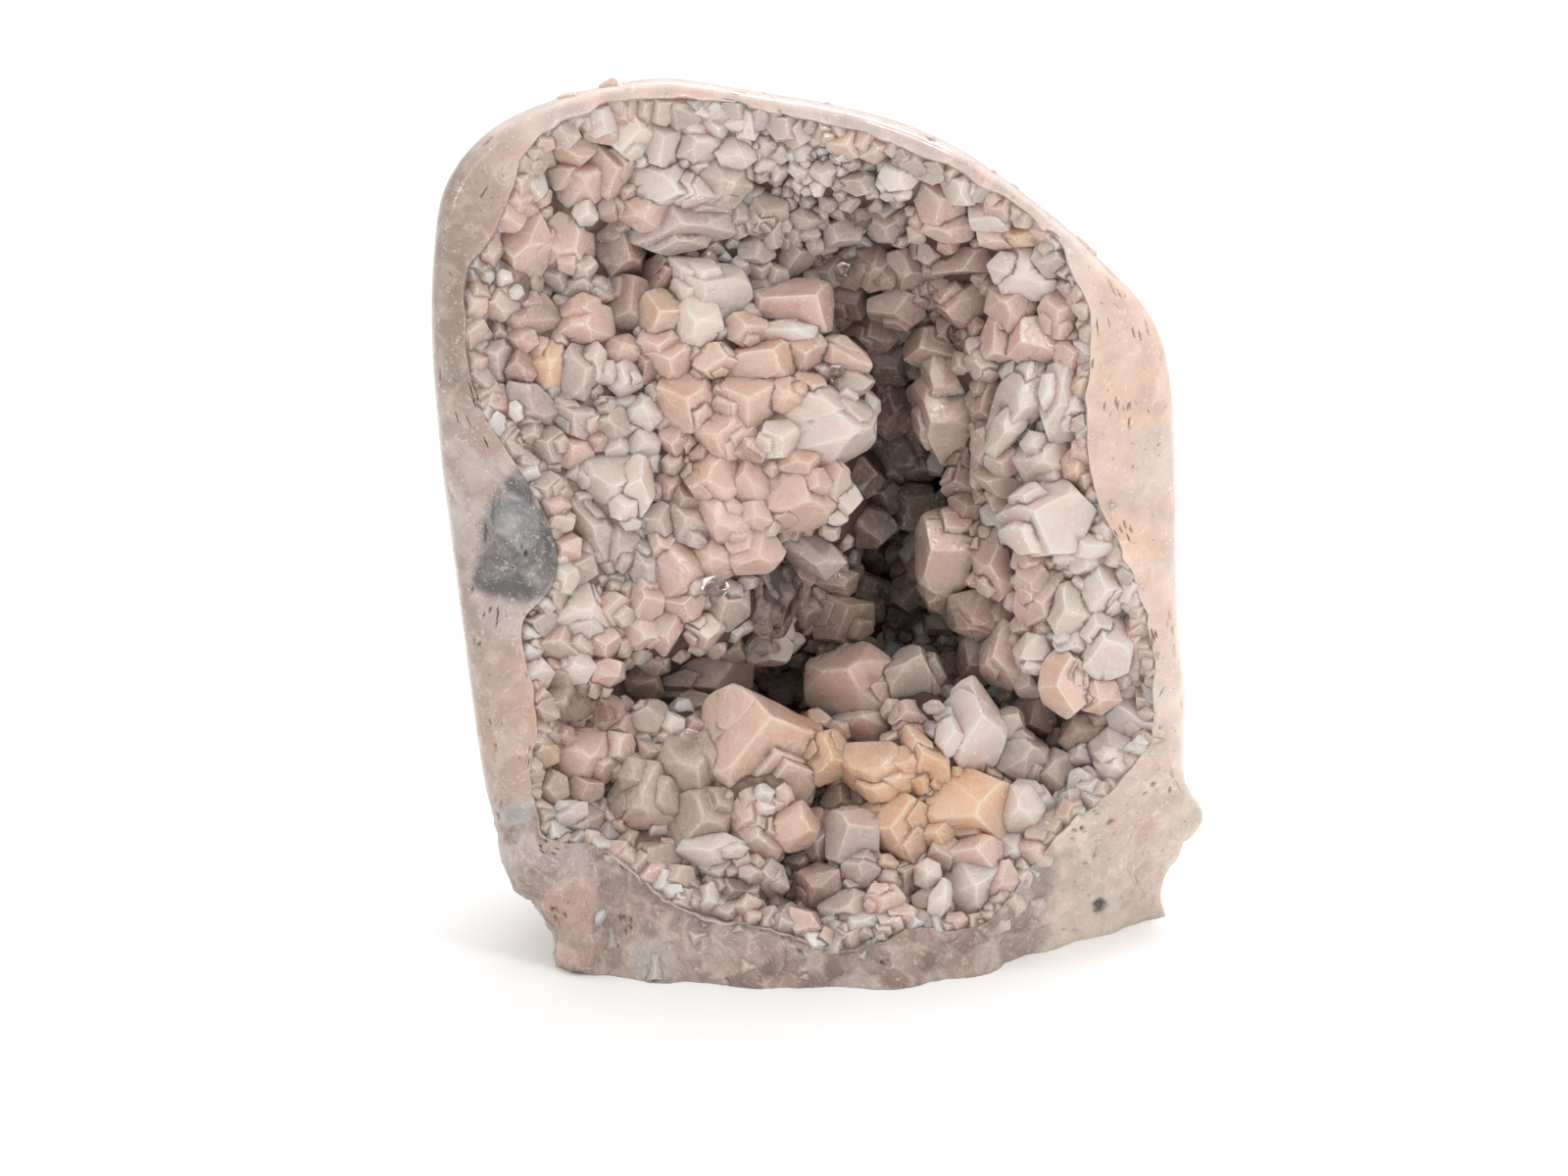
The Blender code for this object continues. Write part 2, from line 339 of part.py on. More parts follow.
def build_rind():
    """The stone: the bowl, the polished rim that rolls over to the outline, the domed back, the sawn base."""
    inner, outer = radii(HOLLOW_EDGE), radii(OUTLINE)
    rings = [place(*CENTRE, bowl_depth(*CENTRE, 0.0))]
    for step in range(1, BOWL_RINGS + 1):
        share = step / BOWL_RINGS
        rings.append(front_ring(inner * share, lambda s, t: bowl_depth(s, t, share)))
    rings.append(front_ring(inner, front_depth))
    for share in RIM_RINGS:
        roll = RIM_ROUNDING * (1.0 - math.sqrt(1.0 - share ** 4))
        rings.append(front_ring(inner + (outer - inner) * share, lambda s, t: front_depth(s, t) + roll))
    edge = rings[-1]
    for step in range(1, BACK_RINGS):
        rings.append(back_ring(edge, step / BACK_RINGS))
    rings.append((CENTRE[0], BACK_DEPTH, CENTRE[1]))
    rind = skin("rind", rings)
    saw_flat(rind)
    return rind


def saw_flat(rind):
    """Cuts the stone off at z = 0 and closes the cut with one flat face."""
    mesh = bmesh.new()
    mesh.from_mesh(rind.data)
    cut = bmesh.ops.bisect_plane(mesh, geom=[*mesh.verts, *mesh.edges, *mesh.faces], dist=1e-7,
                                 plane_co=(0, 0, 0), plane_no=(0, 0, 1), clear_inner=True)
    rim = [e for e in cut["geom_cut"] if isinstance(e, bmesh.types.BMEdge)]
    base = bmesh.ops.contextual_create(mesh, geom=rim)["faces"]
    bmesh.ops.triangulate(mesh, faces=base)
    bmesh.ops.recalc_face_normals(mesh, faces=mesh.faces)
    mesh.to_mesh(rind.data)
    mesh.free()


def build_crystal(row):
    """One blunt six-sided crystal: the hull of its root, its shoulder and its tip."""
    mesh = bmesh.new()
    across, up, half_width, half_height, turn, lean_across, lean_up, crest = row
    size = min(half_width, half_height)
    tip_depth = front_depth(across, up) + crest
    turned = Matrix.Rotation(math.radians(turn), 2)
    corners = [mesh.verts.new(metres(place(across + lean_across, up + lean_up, tip_depth)))]
    for behind, width, lean in ((SHOULDER_DEPTH, SHOULDER_WIDTH, 0.6), (ROOT_DEPTH, ROOT_WIDTH, -0.6)):
        for corner in range(CRYSTAL_CORNERS):
            angle = (corner + 0.5) * math.tau / CRYSTAL_CORNERS
            side = turned @ Vector((half_width * width * math.cos(angle),
                                    half_height * width * math.sin(angle)))
            point = place(across + side.x + lean * lean_across, up + side.y + lean * lean_up,
                          tip_depth + behind * size)
            corners.append(mesh.verts.new(metres(point)))
    bmesh.ops.convex_hull(mesh, input=corners)
    bmesh.ops.recalc_face_normals(mesh, faces=mesh.faces)
    return to_object("grown crystal", mesh)


def floor_depth(floor, across, up, share):
    """The crust's own surface, which leaves room for the least thickness over the bowl."""
    wanted = front_depth(across, up) + weighted(floor, across, up, softness=1.2, power=2.5)
    cover = FLOOR_COVER * (1.2 - share)
    return min(wanted, bowl_depth(across, up, min(share, 1.0)) - cover)


def floor_corners(edge):
    """Scattered corners for the floor inside its edge: a staggered grid."""
    corners = []
    low, high = np.min(HOLLOW_EDGE, axis=0), np.max(HOLLOW_EDGE, axis=0)
    row_height = FLOOR_SPACING * math.sqrt(0.75)
    for row, up in enumerate(np.arange(low[1], high[1], row_height)):
        for across in np.arange(low[0], high[0], FLOOR_SPACING) + 0.5 * FLOOR_SPACING * (row % 2):
            angle = math.atan2(up - CENTRE[1], across - CENTRE[0]) % math.tau
            reach = np.interp(angle, segment_angles(), edge, period=math.tau)
            share = math.hypot(across - CENTRE[0], up - CENTRE[1]) / reach
            if share < 1.0 - 0.45 * FLOOR_SPACING / reach:
                corners.append((across, up, share))
    return corners


def lay_floor(crust, edge, floor):
    """Closes the open front of the crust with its floor: a net over scattered corners, inside the ring of
    corners that the crust starts with. edge is how far that ring lies from CENTRE."""
    ring = [(CENTRE[0] + r * math.cos(a), CENTRE[1] + r * math.sin(a))
            for r, a in zip(edge, segment_angles())]
    inside = floor_corners(edge)
    flat = [Vector(p) for p in ring + [c[:2] for c in inside]]
    around = [(j, (j + 1) % SEGMENTS) for j in range(SEGMENTS)]
    triangles = delaunay_2d_cdt(flat, around, [], 1, 1e-6)[2]
    mesh = bmesh.new()
    mesh.from_mesh(crust.data)
    mesh.verts.ensure_lookup_table()
    corners = [mesh.verts[j] for j in range(SEGMENTS)]
    for across, up, share in inside:
        corners.append(mesh.verts.new(metres(place(across, up, floor_depth(floor, across, up, share)))))
    for triangle in triangles:
        mesh.faces.new([corners[j] for j in triangle])
    bmesh.ops.recalc_face_normals(mesh, faces=mesh.faces)
    mesh.to_mesh(crust.data)
    mesh.free()


def bowl_rings(radius, lower):
    """Rings over the hollow's surface, lowered by the given depth, from its edge to its deepest point."""
    def depth_at(share):
        return lambda across, up: bowl_depth(across, up, min(share, 1.0)) + lower

    shares = [step / BOWL_RINGS for step in range(BOWL_RINGS, 0, -1)]
    rings = [front_ring(radius * share, depth_at(share)) for share in shares]
    return rings + [place(*CENTRE, BOWL_DEPTH + lower)]


def build_crust():
    """The crust without its crystals, a little too large all round, and the envelope that trims it."""
    inner, floor = radii(HOLLOW_EDGE), floor_points()
    wide = inner * CRUST_OVERSIZE
    edge = front_ring(wide, lambda across, up: floor_depth(floor, across, up, 1.0))
    crust = skin("crystal_crust", [None, edge] + bowl_rings(wide, CRUST_GAP + FLOOR_COVER))
    lay_floor(crust, wide, floor)

    trimmed = inner - CRUST_GAP
    mouth = front_ring(trimmed, lambda across, up: front_depth(across, up) - ENVELOPE_REACH)
    rings = [place(*CENTRE, -ENVELOPE_REACH), mouth]
    return crust, skin("bowl envelope", rings + bowl_rings(trimmed, -CRUST_GAP))


def join_solids(target, name, operation):
    """Adds a Boolean to target and gives back its settings. The Manifold solver is used because the
    exact one leaves edges open where many crystals meet."""
    step = target.modifiers.new(name, 'BOOLEAN')
    step.operation = operation
    step.solver = 'MANIFOLD'
    return step


def as_guide(thing, collection):
    thing.display_type = 'WIRE'
    thing.hide_render = True
    collection.objects.link(thing)


def main():
    for thing in list(bpy.data.objects):
        bpy.data.objects.remove(thing)
    part = bpy.data.collections.new("geode")
    grown = bpy.data.collections.new("grown crystals")
    guides = bpy.data.collections.new("guides")
    for collection in (part, grown, guides):
        bpy.context.scene.collection.children.link(collection)

    rind = build_rind()
    rind.data.materials.append(material("stone", (0.62, 0.5, 0.45), 0.3))
    crust, envelope = build_crust()
    crust.data.materials.append(material("quartz", (0.7, 0.57, 0.51), 0.25))
    for row in crystals():
        if min(row[2], row[3]) >= SMALLEST_SOLID:
            as_guide(build_crystal(row), grown)
    as_guide(envelope, guides)

    together = join_solids(crust, "grow crystals", 'UNION')
    together.operand_type = 'COLLECTION'
    together.collection = grown
    join_solids(crust, "fit the bowl", 'INTERSECT').object = envelope
    flat = crust.modifiers.new("flat faces", 'DECIMATE')
    flat.decimate_type = 'DISSOLVE'
    flat.angle_limit = FLAT_ENOUGH
    for thing in (rind, crust):
        part.objects.link(thing)


main()
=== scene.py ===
"""The looks of the pink amethyst geode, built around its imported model.

Places on the front are in millimetres as they are seen from VIEWPOINT, a little above the stone: across and
up in the rim's plane, and then how far behind the front surface. The model's outline, hollow and crystals
were laid out in the same way, so every piece here falls where the solids are.
"""

import math

import bmesh
import bpy
import numpy as np
from mathutils import Matrix, Vector, noise


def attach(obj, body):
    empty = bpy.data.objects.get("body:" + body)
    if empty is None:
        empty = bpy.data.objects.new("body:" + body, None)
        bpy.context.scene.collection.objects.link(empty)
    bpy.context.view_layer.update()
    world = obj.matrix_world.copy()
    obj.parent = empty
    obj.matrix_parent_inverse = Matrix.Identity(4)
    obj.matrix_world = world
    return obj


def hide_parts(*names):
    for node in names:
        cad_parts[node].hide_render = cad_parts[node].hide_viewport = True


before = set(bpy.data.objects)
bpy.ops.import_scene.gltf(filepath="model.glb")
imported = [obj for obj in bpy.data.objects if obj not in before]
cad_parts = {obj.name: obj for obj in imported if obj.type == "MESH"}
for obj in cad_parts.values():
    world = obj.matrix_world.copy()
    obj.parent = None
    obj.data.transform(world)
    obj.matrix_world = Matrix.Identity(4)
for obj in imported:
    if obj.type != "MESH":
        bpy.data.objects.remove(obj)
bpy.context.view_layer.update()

MM = 0.001
RANDOM = np.random.default_rng(12)

# The place that the front is laid out from, how far the view from it tilts down in degrees, and the middle
# of the stone's box in that layout
VIEWPOINT = np.array([-4.1, -471.0, 179.9])
CAMERA_TILT = 15.0
MIDDLE = np.array([0.9, 25.36, 0.0])

# Overall sizes, millimetres, as in the model
BACK_DEPTH = 58.0
BACK_TAPER = 0.32
BOWL_DEPTH = 47.0
BOWL_EDGE = 2.5
BOWL_ROUNDNESS = 2.6
RIM_ROUNDING = 4.5
LUMP_SIZE, LUMP_HEIGHT = 15.0, 2.8
RIND_AROUND = 560
CREASE = math.radians(32)
BASE_CLEARANCE = 0.05
SATELLITES_FROM = 2.0
FILL_TRIES = 26000
COARSE_NET, FINE_NET = ((0.86, 0.1),), ((0.955, 0.75), (0.87, 0.1), (0.5, 0.0))
# The alpha of a colour that a union has carried over, as against one that it made up
KNOWN = 0.5
CENTRE = np.array([-2.0, 60.0])

OUTLINE = [
    (-36.0, 6.5), (-38.6, 10.4), (-41.2, 12.8), (-42.8, 20.0), (-44.6, 30.0), (-46.1, 44.0), (-47.5, 58.0),
    (-48.9, 72.0), (-49.7, 86.0), (-49.1, 99.0), (-47.2, 107.4), (-41.6, 114.0), (-33.0, 118.1),
    (-20.5, 120.7), (-8.0, 119.1), (6.0, 116.5), (17.0, 112.4), (28.0, 105.0), (37.2, 96.9), (43.7, 89.2),
    (46.3, 80.0), (47.2, 66.0), (47.9, 50.0), (49.3, 39.0), (49.2, 31.5), (49.6, 26.5), (51.9, 22.0),
    (48.6, 16.5), (46.6, 11.0), (47.8, 4.0), (38.0, -6.0), (22.0, -13.0), (2.0, -16.0), (-18.0, -13.0),
    (-31.0, -6.0), (-33.8, 0.5),
]
HOLLOW_EDGE = [
    (-38.0, 25.0), (-37.0, 34.0), (-38.0, 43.0), (-38.0, 49.0), (-34.0, 55.0), (-34.5, 62.0), (-38.0, 69.0),
    (-43.0, 77.0), (-45.5, 86.0), (-44.5, 96.0), (-40.5, 103.5), (-37.0, 111.0), (-31.0, 115.8),
    (-22.0, 118.4), (-10.0, 117.4), (4.0, 114.6), (14.0, 110.6), (22.5, 106.6), (29.5, 101.5), (34.0, 95.0),
    (36.0, 87.0), (35.4, 77.0), (36.6, 68.0), (40.5, 59.0), (43.6, 50.0), (45.2, 41.0), (44.8, 32.0),
    (39.5, 25.5), (34.0, 20.5), (29.0, 14.5), (23.0, 6.6), (13.0, 5.8), (3.0, 3.6), (-6.0, 7.0),
    (-16.0, 9.0), (-27.0, 16.5), (-35.0, 19.0),
]
# The lie of the front surface: across, up, and depth behind the rim's plane
FRONT = np.array([
    (-40, 104, 0), (-20, 117, 0), (2, 113, 0), (20, 106, 0.5), (36, 92, 1.5), (43, 84, 4), (-46, 84, 0),
    (-44, 60, 0), (-42, 40, -0.5), (-39, 22, -1.5), (-35, 8, -1.5), (-32, -1, -2.6), (-20, -2, -5.5),
    (-6, -3, -7.6), (9, -3, -8.1), (21, 0, -3.5), (30.5, 2.6, 7), (38, 4.5, 13), (45, 7.6, 20.7),
    (50, 22, 13), (47, 35, 9), (46, 50, 6), (45, 65, 5.5), (40, 60, 1.5), (36, 74, 1), (42, 70, 4),
    (34, 40, 1), (42, 30, 5), (32, 20, 2), (38, 14, 8), (22, 10, -2), (26, 60, 0), (-24, 12, -3.5),
    (4, 12, -5.5), (-8, 24, -3), (14, 26, -2), (0, 44, 0), (0, 60, 0), (-20, 60, 0), (0, 85, 0),
    (-25, 85, 0), (18, 85, 0), (-20, -16, -3), (8, -18, -5), (30, -12, 6), (46, -4, 20),
], float)

# The crystals, from the rim inwards. Each is: across, up, half width, half height, how far its crest lies
# behind the front surface, and its look: p pink, w white, b brownish, g grey, o stained orange, r peach,
# d dark (a darker copy that paints the shade deep in the cleft), s speckled. Where they aren't all 0, its
# turn in degrees and how far its tip leans across and up come last.
CRYSTALS = {
    "crystals_upper_left": """
    -38 99 4.3 4.9 2.2 p 0 0.4 -0.6; -32.5 99.8 3.2 4.1 3.4 p 0 0.6 -0.8; -30.2 107 5.3 3.5 3 p 0 0 0.6;
    -31.3 112.6 3.1 2.9 1.2 p 0 0 0.3; -26.4 109.3 3.2 4.1 3 p 20 0.6 0; -23.6 114.3 3.3 3.7 1.4 w 0 0.5 0;
    -19.6 113 3.1 3.4 2.2 w 0 0 0.2; -19 107.3 4.9 3.4 3 w -5 0.6 0; -14.6 112.5 2.9 2.5 2.2 w 0 0 0.3;
    -11.7 107.5 3.3 3.1 4 g 0 0.5 -0.3; -17.3 102.4 7.4 3.3 4.6 g 5 0.4 -1; -26.3 99 3.8 4.7 6.4 b 0 0.5 -1;
    -37 107.2 2.4 2.3 1.6 w; -41 92 2.6 2.6 1.2 p; -41.3 103.4 1.4 1.4 1 w; -29.6 103.5 1.5 1.5 3 w;
    -46.4 97.9 1.7 2.2 0.2 w; -40.2 95 1.1 1.1 1 w; -38.6 93.2 0.9 0.9 1 w; -30 96.3 1.7 1.5 4 g;
    -40.6 106.5 2.4 2.3 0.8 p; -22 103.6 3 2.4 4 p 0 0.2 -0.3; -14.5 117 2.3 1.5 0.8 w;
    -9.4 115.2 2.4 1.7 1 w; -10.2 111.4 2.6 2 3 w; -27.5 114.8 2.2 2.2 0.8 p""",
    "crystals_left": """
    -37.5 89.6 4.2 3.3 2 b 0 0.2 0.3; -30.3 89 3.8 3.1 2.6 p 0 0.5 0; -30 93.5 3.5 2.5 4.4 g 0 0.3 0.8;
    -24.3 91 3.5 4.1 6 b 0 0.3 -0.4; -34.7 83.6 2.5 3 1.8 o; -31 82.6 2.5 3.5 2 g;
    -25 85.6 2.9 1.9 4 p 0 0 0.3; -24.7 81.9 2.3 2.3 3.4 w; -42.4 84 3 3 0.8 g;
    -37.5 78.5 3.6 2.6 0.8 g -35 0 0; -31.4 76.6 3.2 2.2 1.6 g -35 0 0; -31.4 72 2.3 2 2 p;
    -34.8 67.4 4 2.2 1 g -50 0 0; -26.2 68.1 5.2 4.3 1 w -20 0.3 0; -29 61.6 5 2.2 1.6 g -55 0 0;
    -25.6 59.6 2.4 3 2.4 g 10 0 0; -31.4 56.4 2.6 2.4 1.4 g; -22.5 56.6 2.2 3.6 2.8 g 15 0 0;
    -46 82 1.5 2.6 0.6 w; -46 89.6 1.6 1.9 0.6 w; -28.8 84 1.5 2.3 2.4 w; -21.7 82.9 1.6 1.9 4.4 b;
    -43.6 77.6 1.6 1.6 0.6 p; -38.8 77.5 1 1.3 0.6 w; -29.3 76 1.4 1.4 2.6 p; -28.5 73.5 1.3 1.3 3 b;
    -23.3 67.5 2 3.8 0.8 w 0 0.3 0; -25.2 64.6 1.7 1.7 0.7 w; -38.6 83.4 2.4 2.8 1.4 b; -35 73 2.6 2.4 1.2 g;
    -40.4 73.2 2.4 2.2 0.8 p; -38 87 2 1.6 1.6 p""",
    "crystals_mound": """
    -18 95 4.8 3.3 7.4 b 10 0.3 1; -13.5 92.3 4.8 4.3 4 w 0 0.4 0.8; -15.2 89.3 3 3.1 2 w 0 0 0.3;
    -19.2 89.7 3.3 3.2 3 p 0 -0.4 0.2; -18.8 84.4 3.6 3 2.4 p 0 -0.2 0; -7 93.2 2.2 2.2 9 b 0 0 0.3;
    -3.2 90.5 4.8 3.7 5.6 p 0 0.6 0.6; -4.3 88 4 1.4 4.2 w; -1.7 85.2 3.1 2.6 4.2 p 0 0.3 0.2;
    3.6 84.7 3.5 2.1 5.4 p -25 1.8 -0.6; 4.2 81.3 3.1 2 5.8 g 0 1.8 -0.2; -7.2 83.4 4.3 3.4 1.8 r 0 0.2 0.8;
    0.9 75.2 6.2 4.9 0.6 w -5 2 0; -4.9 73.7 2.5 2.2 0.2 w; -8.3 79 4.3 3.3 1 r;
    -16.6 78.7 4 3.7 1.4 r 0 -0.3 0; -12.2 74.3 3.3 3 0.8 r; -13 68.3 3.2 3.3 1 r; -8.4 67.6 2.6 3.5 1.2 p;
    -3 66.3 5.3 4.3 0.8 p 0 0.5 -0.5; 2 68.7 2.2 3.2 3.4 p 15 0.9 0; 3.2 65.8 2.4 2.3 4.8 w -30 1.2 -0.7;
    -22.4 77.2 2.3 2.3 3 w; -22.4 73.2 2.1 2.1 3.4 w; -18.1 73.6 2.3 2.5 3.2 p; -19.4 67.2 2.3 2.5 3.8 b;
    -16.8 62.3 3.5 2.4 2 g -50 0 0; -12 62.8 3.8 2.6 1.4 p -40 0.2 -0.2; -8 58.7 3.7 2.9 2.4 p 0 0.4 -0.4;
    -12.8 57.6 2.9 2.9 2.2 p 0 0.2 -0.2; -17.6 56 3.5 3.8 2.2 p 0 0 -0.2; -17.3 51.6 2.6 2.3 3.2 p 0 0 -0.4;
    -22.3 52.2 2.3 3 2.8 p; -23 48 3.2 2.6 3.8 p 0 0.3 -0.8; -19.7 47.8 2.4 3.1 4.2 p 0 0.2 -0.9;
    -14.8 48 2.6 2.4 4.6 p 0 0.2 -0.6; -11.6 51.6 2.7 3.3 4.2 g 0 0.4 -0.6;
    -0.6 58.9 4.5 2.4 10.5 g -30 1.2 -0.7; -2.8 56 2.8 2.2 16 b; 3.8 79.2 1.6 1.3 5 w 0 0.6 -0.4;
    2.9 63.2 1.3 0.9 5 w 0 0.4 -0.3; -18.5 70.3 1.4 1.2 3.4 p; -4 79.6 2.6 2.2 1.4 r 0 0.2 0.2;
    -1.2 80.4 2.4 2 2.6 r 0 0.6 0.2; -12.8 84.2 2.8 2.2 1.8 r 0 0 0.4; -9 88.2 2.6 2.2 3 p 0 0.2 0.4;
    -7.8 63.6 2.2 1.8 1.6 p 0 0.2 -0.2; -20.6 62.8 2 2.4 2.6 g; -2.2 70.6 2.6 1.8 1 r 0 0.4 0;
    -8.4 72.6 2.2 1.8 0.9 p""",
    "crystals_lower_left": """
    -31.6 50.2 3.6 3.4 0.8 w 20 0.2 0; -27.2 50.7 3 2.4 2.4 p 0 0.2 0; -34.5 46.2 3.6 2.4 0.6 p;
    -31.4 42.8 2.3 2.2 1 w; -28.1 46.3 2.2 2.2 2.4 p 0 0.2 0; -28 42 2.4 1.9 2.8 p 0 0.3 0;
    -33.8 38 3 2.6 1 b; -27.8 36.6 2.2 2.7 4 b 0 0.3 0; -31.4 30.4 4.4 4.1 2.2 p 20 0.8 -0.5;
    -35.4 26 2.4 2.4 1.4 b; -26.8 31.6 2.5 2.2 4.2 p 0 0.4 0; -31.8 20.6 3.2 2.8 1.6 g;
    -22 35.8 2.6 2.4 5.6 g 0 0 0.6; -22.8 24.6 4.4 5 2.2 s 0 0 0.2; -17 28.6 4.4 5.4 3.6 s 0 0 0.4;
    -15 20.4 4.8 5.2 2.2 s 0 0 -0.4; -7.3 31.8 7.4 7.6 2.4 r 0 0.2 0.8; -7.9 19.2 3.8 3.9 2.2 p 0 0.3 -0.4;
    -3.2 20.6 3.5 3.3 2.4 r 0 1.2 0; -10.6 10.9 2.9 2.6 1 g 0 0.3 0; 1.4 30.2 3.1 3.6 4.2 o 0 0.4 0.3;
    -21.6 15.2 3.6 2.8 1.2 s; -38 50.7 1.5 2.2 0.6 g; -18.8 35.2 1.4 1.4 5.4 w 0 0 0.4;
    -8.5 13.8 1.5 1.3 1.2 g; -32.8 23.2 2.2 1 1.2 w; -6.8 25.2 1.3 1.3 2 w; -6.4 23.2 1.1 1.1 2.2 w;
    -35 33.4 2.4 2.2 1.2 b; -30.6 25.6 2.2 2 3 b""",
    "crystals_deep": """
    3.2 101 2.4 1.8 10 g; 9 102.4 3.1 2.4 9 g 0 0 -0.2; 7.4 96.4 2.6 2.9 12.5 b; 11.6 96.3 2.7 2.8 12.5 b;
    4.4 92.3 2.5 2.5 18 b; 10.4 91.3 3.4 2.4 14.5 b 0 0 -0.5; 7.5 88.2 3.3 2.3 19 b; 1.4 96.2 2.2 2.3 15 g;
    -3.2 97.5 3.1 2 11 g 40 0.3 0; -7.6 98.8 2.2 2 8.6 g; -6.2 103.6 2.4 2.4 6 g; 9 83.8 3.1 2.7 22 d;
    10 77.8 3.1 3.6 23 d; 11.5 71.6 4.3 3.5 27 d; 6 68.4 2.7 2.7 21 d 0 0.3 0; 9.4 65.6 2.9 2.9 27 d;
    6.6 62 3.8 2.6 23 d -20 0.6 -0.3; 13.6 64.4 2.8 2.9 26 d; 3.3 49.4 4.1 3.5 22 b 0 0.2 0.4;
    2.3 54.6 3.1 2 23 b; 12.6 53 2.6 2.6 30 d; -6.3 45.6 3 2.2 12.5 g 0 0 -0.3;
    -14.6 41.6 5.8 3.7 15 b 0 0.4 -0.3; -23.3 40.8 2.9 3 11.5 b; -7.4 102.9 1.6 1.8 6.6 g;
    -7.2 96 1.6 1.5 9.6 g; -9.8 96.4 1.3 1.4 8.8 g; -1.5 103 2 1.3 8 g; -0.7 101 1.2 1.2 9.6 g""",
    "crystals_right": """
    10.8 108.5 2.6 1.9 1.6 w 10 0 0; 16.3 105.4 3.6 3.3 3.4 p 0 0 -0.3; 17.2 101.6 3.4 1.9 5.2 p 0 0 -0.5;
    23.1 103.4 3.2 3 2 w -30 0 0; 23.8 100.4 2.8 1.8 3.2 p 0 0 -0.4; 20.1 97.4 4.8 2.1 7.5 b 15 0 0;
    27.6 95.7 4.2 3.5 1.4 w 10 -0.3 0; 25.5 91.3 3 3 3.6 p 0 -0.4 0; 19.6 91.6 3.7 3.2 9.5 b 0 -0.4 0;
    24 87.3 2.4 3 6.4 p 0 -0.2 0; 28.6 86.9 3.5 2.9 3 p; 27.2 78.9 6.8 3.5 2.4 w 58 -0.3 -0.3;
    32 78.6 2.7 5 0.8 w; 22.8 78.9 2.7 3.4 9.5 b 0 -0.3 0; 17.2 77.6 4.1 6.2 12.5 p 0 -1 -0.3;
    16 86 4.1 2.5 14.5 b; 24.6 70.9 2.3 1.9 6.4 p; 30.5 71.2 4.3 3.8 1.8 w 0 -0.2 0;
    23.8 68 3.1 1.7 8 p -20 0 0; 19.4 68.3 2.7 2.4 14.5 b; 20.4 64.6 2.8 2 14 b;
    30.4 63.4 5.9 4.9 -1.5 w -5 -2 0.2; 17.9 58.2 3.8 5 12.5 p 0 -1 0.2; 24 56.8 2.8 4.2 8.6 p 0 -0.3 0;
    16.4 53.4 2.8 3 17.5 b 0 -0.3 0; 22.5 50.4 4.2 3.1 11.5 b 0 -0.3 -0.7; 30.2 53 3.6 4.1 5 p 0 -0.3 0;
    33.8 50.4 3 3.9 2 w 0 -0.2 0; 38.4 54 3.2 4 0.6 w -20 0 0; 25.3 44.9 3 4.7 9.5 p 0 -0.4 0;
    29 44.9 2.4 2.4 5.6 w; 21.9 44 2.7 3.6 15.5 b; 33 40.8 3.1 4.6 3 p 10 -0.3 -0.3; 38.3 45.6 3.7 4.6 1 w;
    42.3 46 2.6 3.6 1.2 p 20 0 0; 37.7 39 2.8 2.5 3.4 p; 42.4 35.8 3.4 2.8 2 w 0 0 0.2;
    35.6 34.1 2.9 2.7 7 b 0 -0.2 0; 29.5 36.4 3.6 3.1 13 b; 40.6 31 3.8 3.3 2.4 w 0 0 0.2;
    27 100.4 2 1.2 1.6 o; 5.4 112.6 2.4 1.6 0.8 w; 1 108.6 1.8 1.6 3.4 w; 5.6 107.6 2.2 1.8 3.6 g;
    20.6 107 2.2 1.6 0.8 w; 31.6 90.6 2.6 2.8 1.4 p; 33 84.6 2.2 2.2 1 p; 22 84 2.4 2.2 8 p 0 -0.2 0;
    28.2 57.6 2.2 2 5.6 p; 36.6 59.4 2.4 1.6 0.6 w""",
    "crystals_lower_right": """
    21 33.8 4.1 6.1 3.6 w -5 -0.2 1; 25.8 34.6 2.1 2.5 7.6 g 0 0.3 0.3; 27.4 29.8 3.4 3.4 5.4 g 0 0.2 0.2;
    14.6 30.2 4.1 2.2 4 o -52 -0.2 0.3; 8.5 28.6 5.6 3.6 4 o -5 0 0.3; 12.7 35.8 2.6 2.3 8.5 p 0 0 0.5;
    12.6 41.2 3.5 4.1 11.5 g 0 0.5 0.6; 5 40.2 5.7 5.1 10.5 p 0 -0.4 1; 7.3 34.1 4.1 2.5 11.5 p 0 0 0.3;
    31.8 27.8 3 3.4 5.4 g; 28.6 22.6 3.5 3.2 2.2 w; 20.6 23.2 5.3 5 1.8 o 0 0 0.6;
    10.9 20.5 4.9 4.6 2.6 o 20 -0.4 0.6; 5.1 18.6 3.3 4.1 4 g 0 -0.3 0; 3.4 24.2 2.1 2.1 8.5 b;
    0.4 18.2 3.2 4.1 7 b; 1 11.8 3 2.9 4.6 b; 21.3 12.2 4.8 4.4 0.6 w 0 -0.2 0.2; 17.4 16.4 2.2 2.5 2.6 p;
    12 12.9 2.3 2.5 4.2 p; 4.6 8.2 3.5 3.2 0.6 g 0 0 0.2; 36.6 26.2 2.6 2.4 2 w; 15.8 37.4 1.3 0.8 6 w;
    9.6 12.9 1.4 1.4 3.6 p; 26 17 3 2.6 1.6 w; 16 9.6 2.6 2.2 1 p""",
}
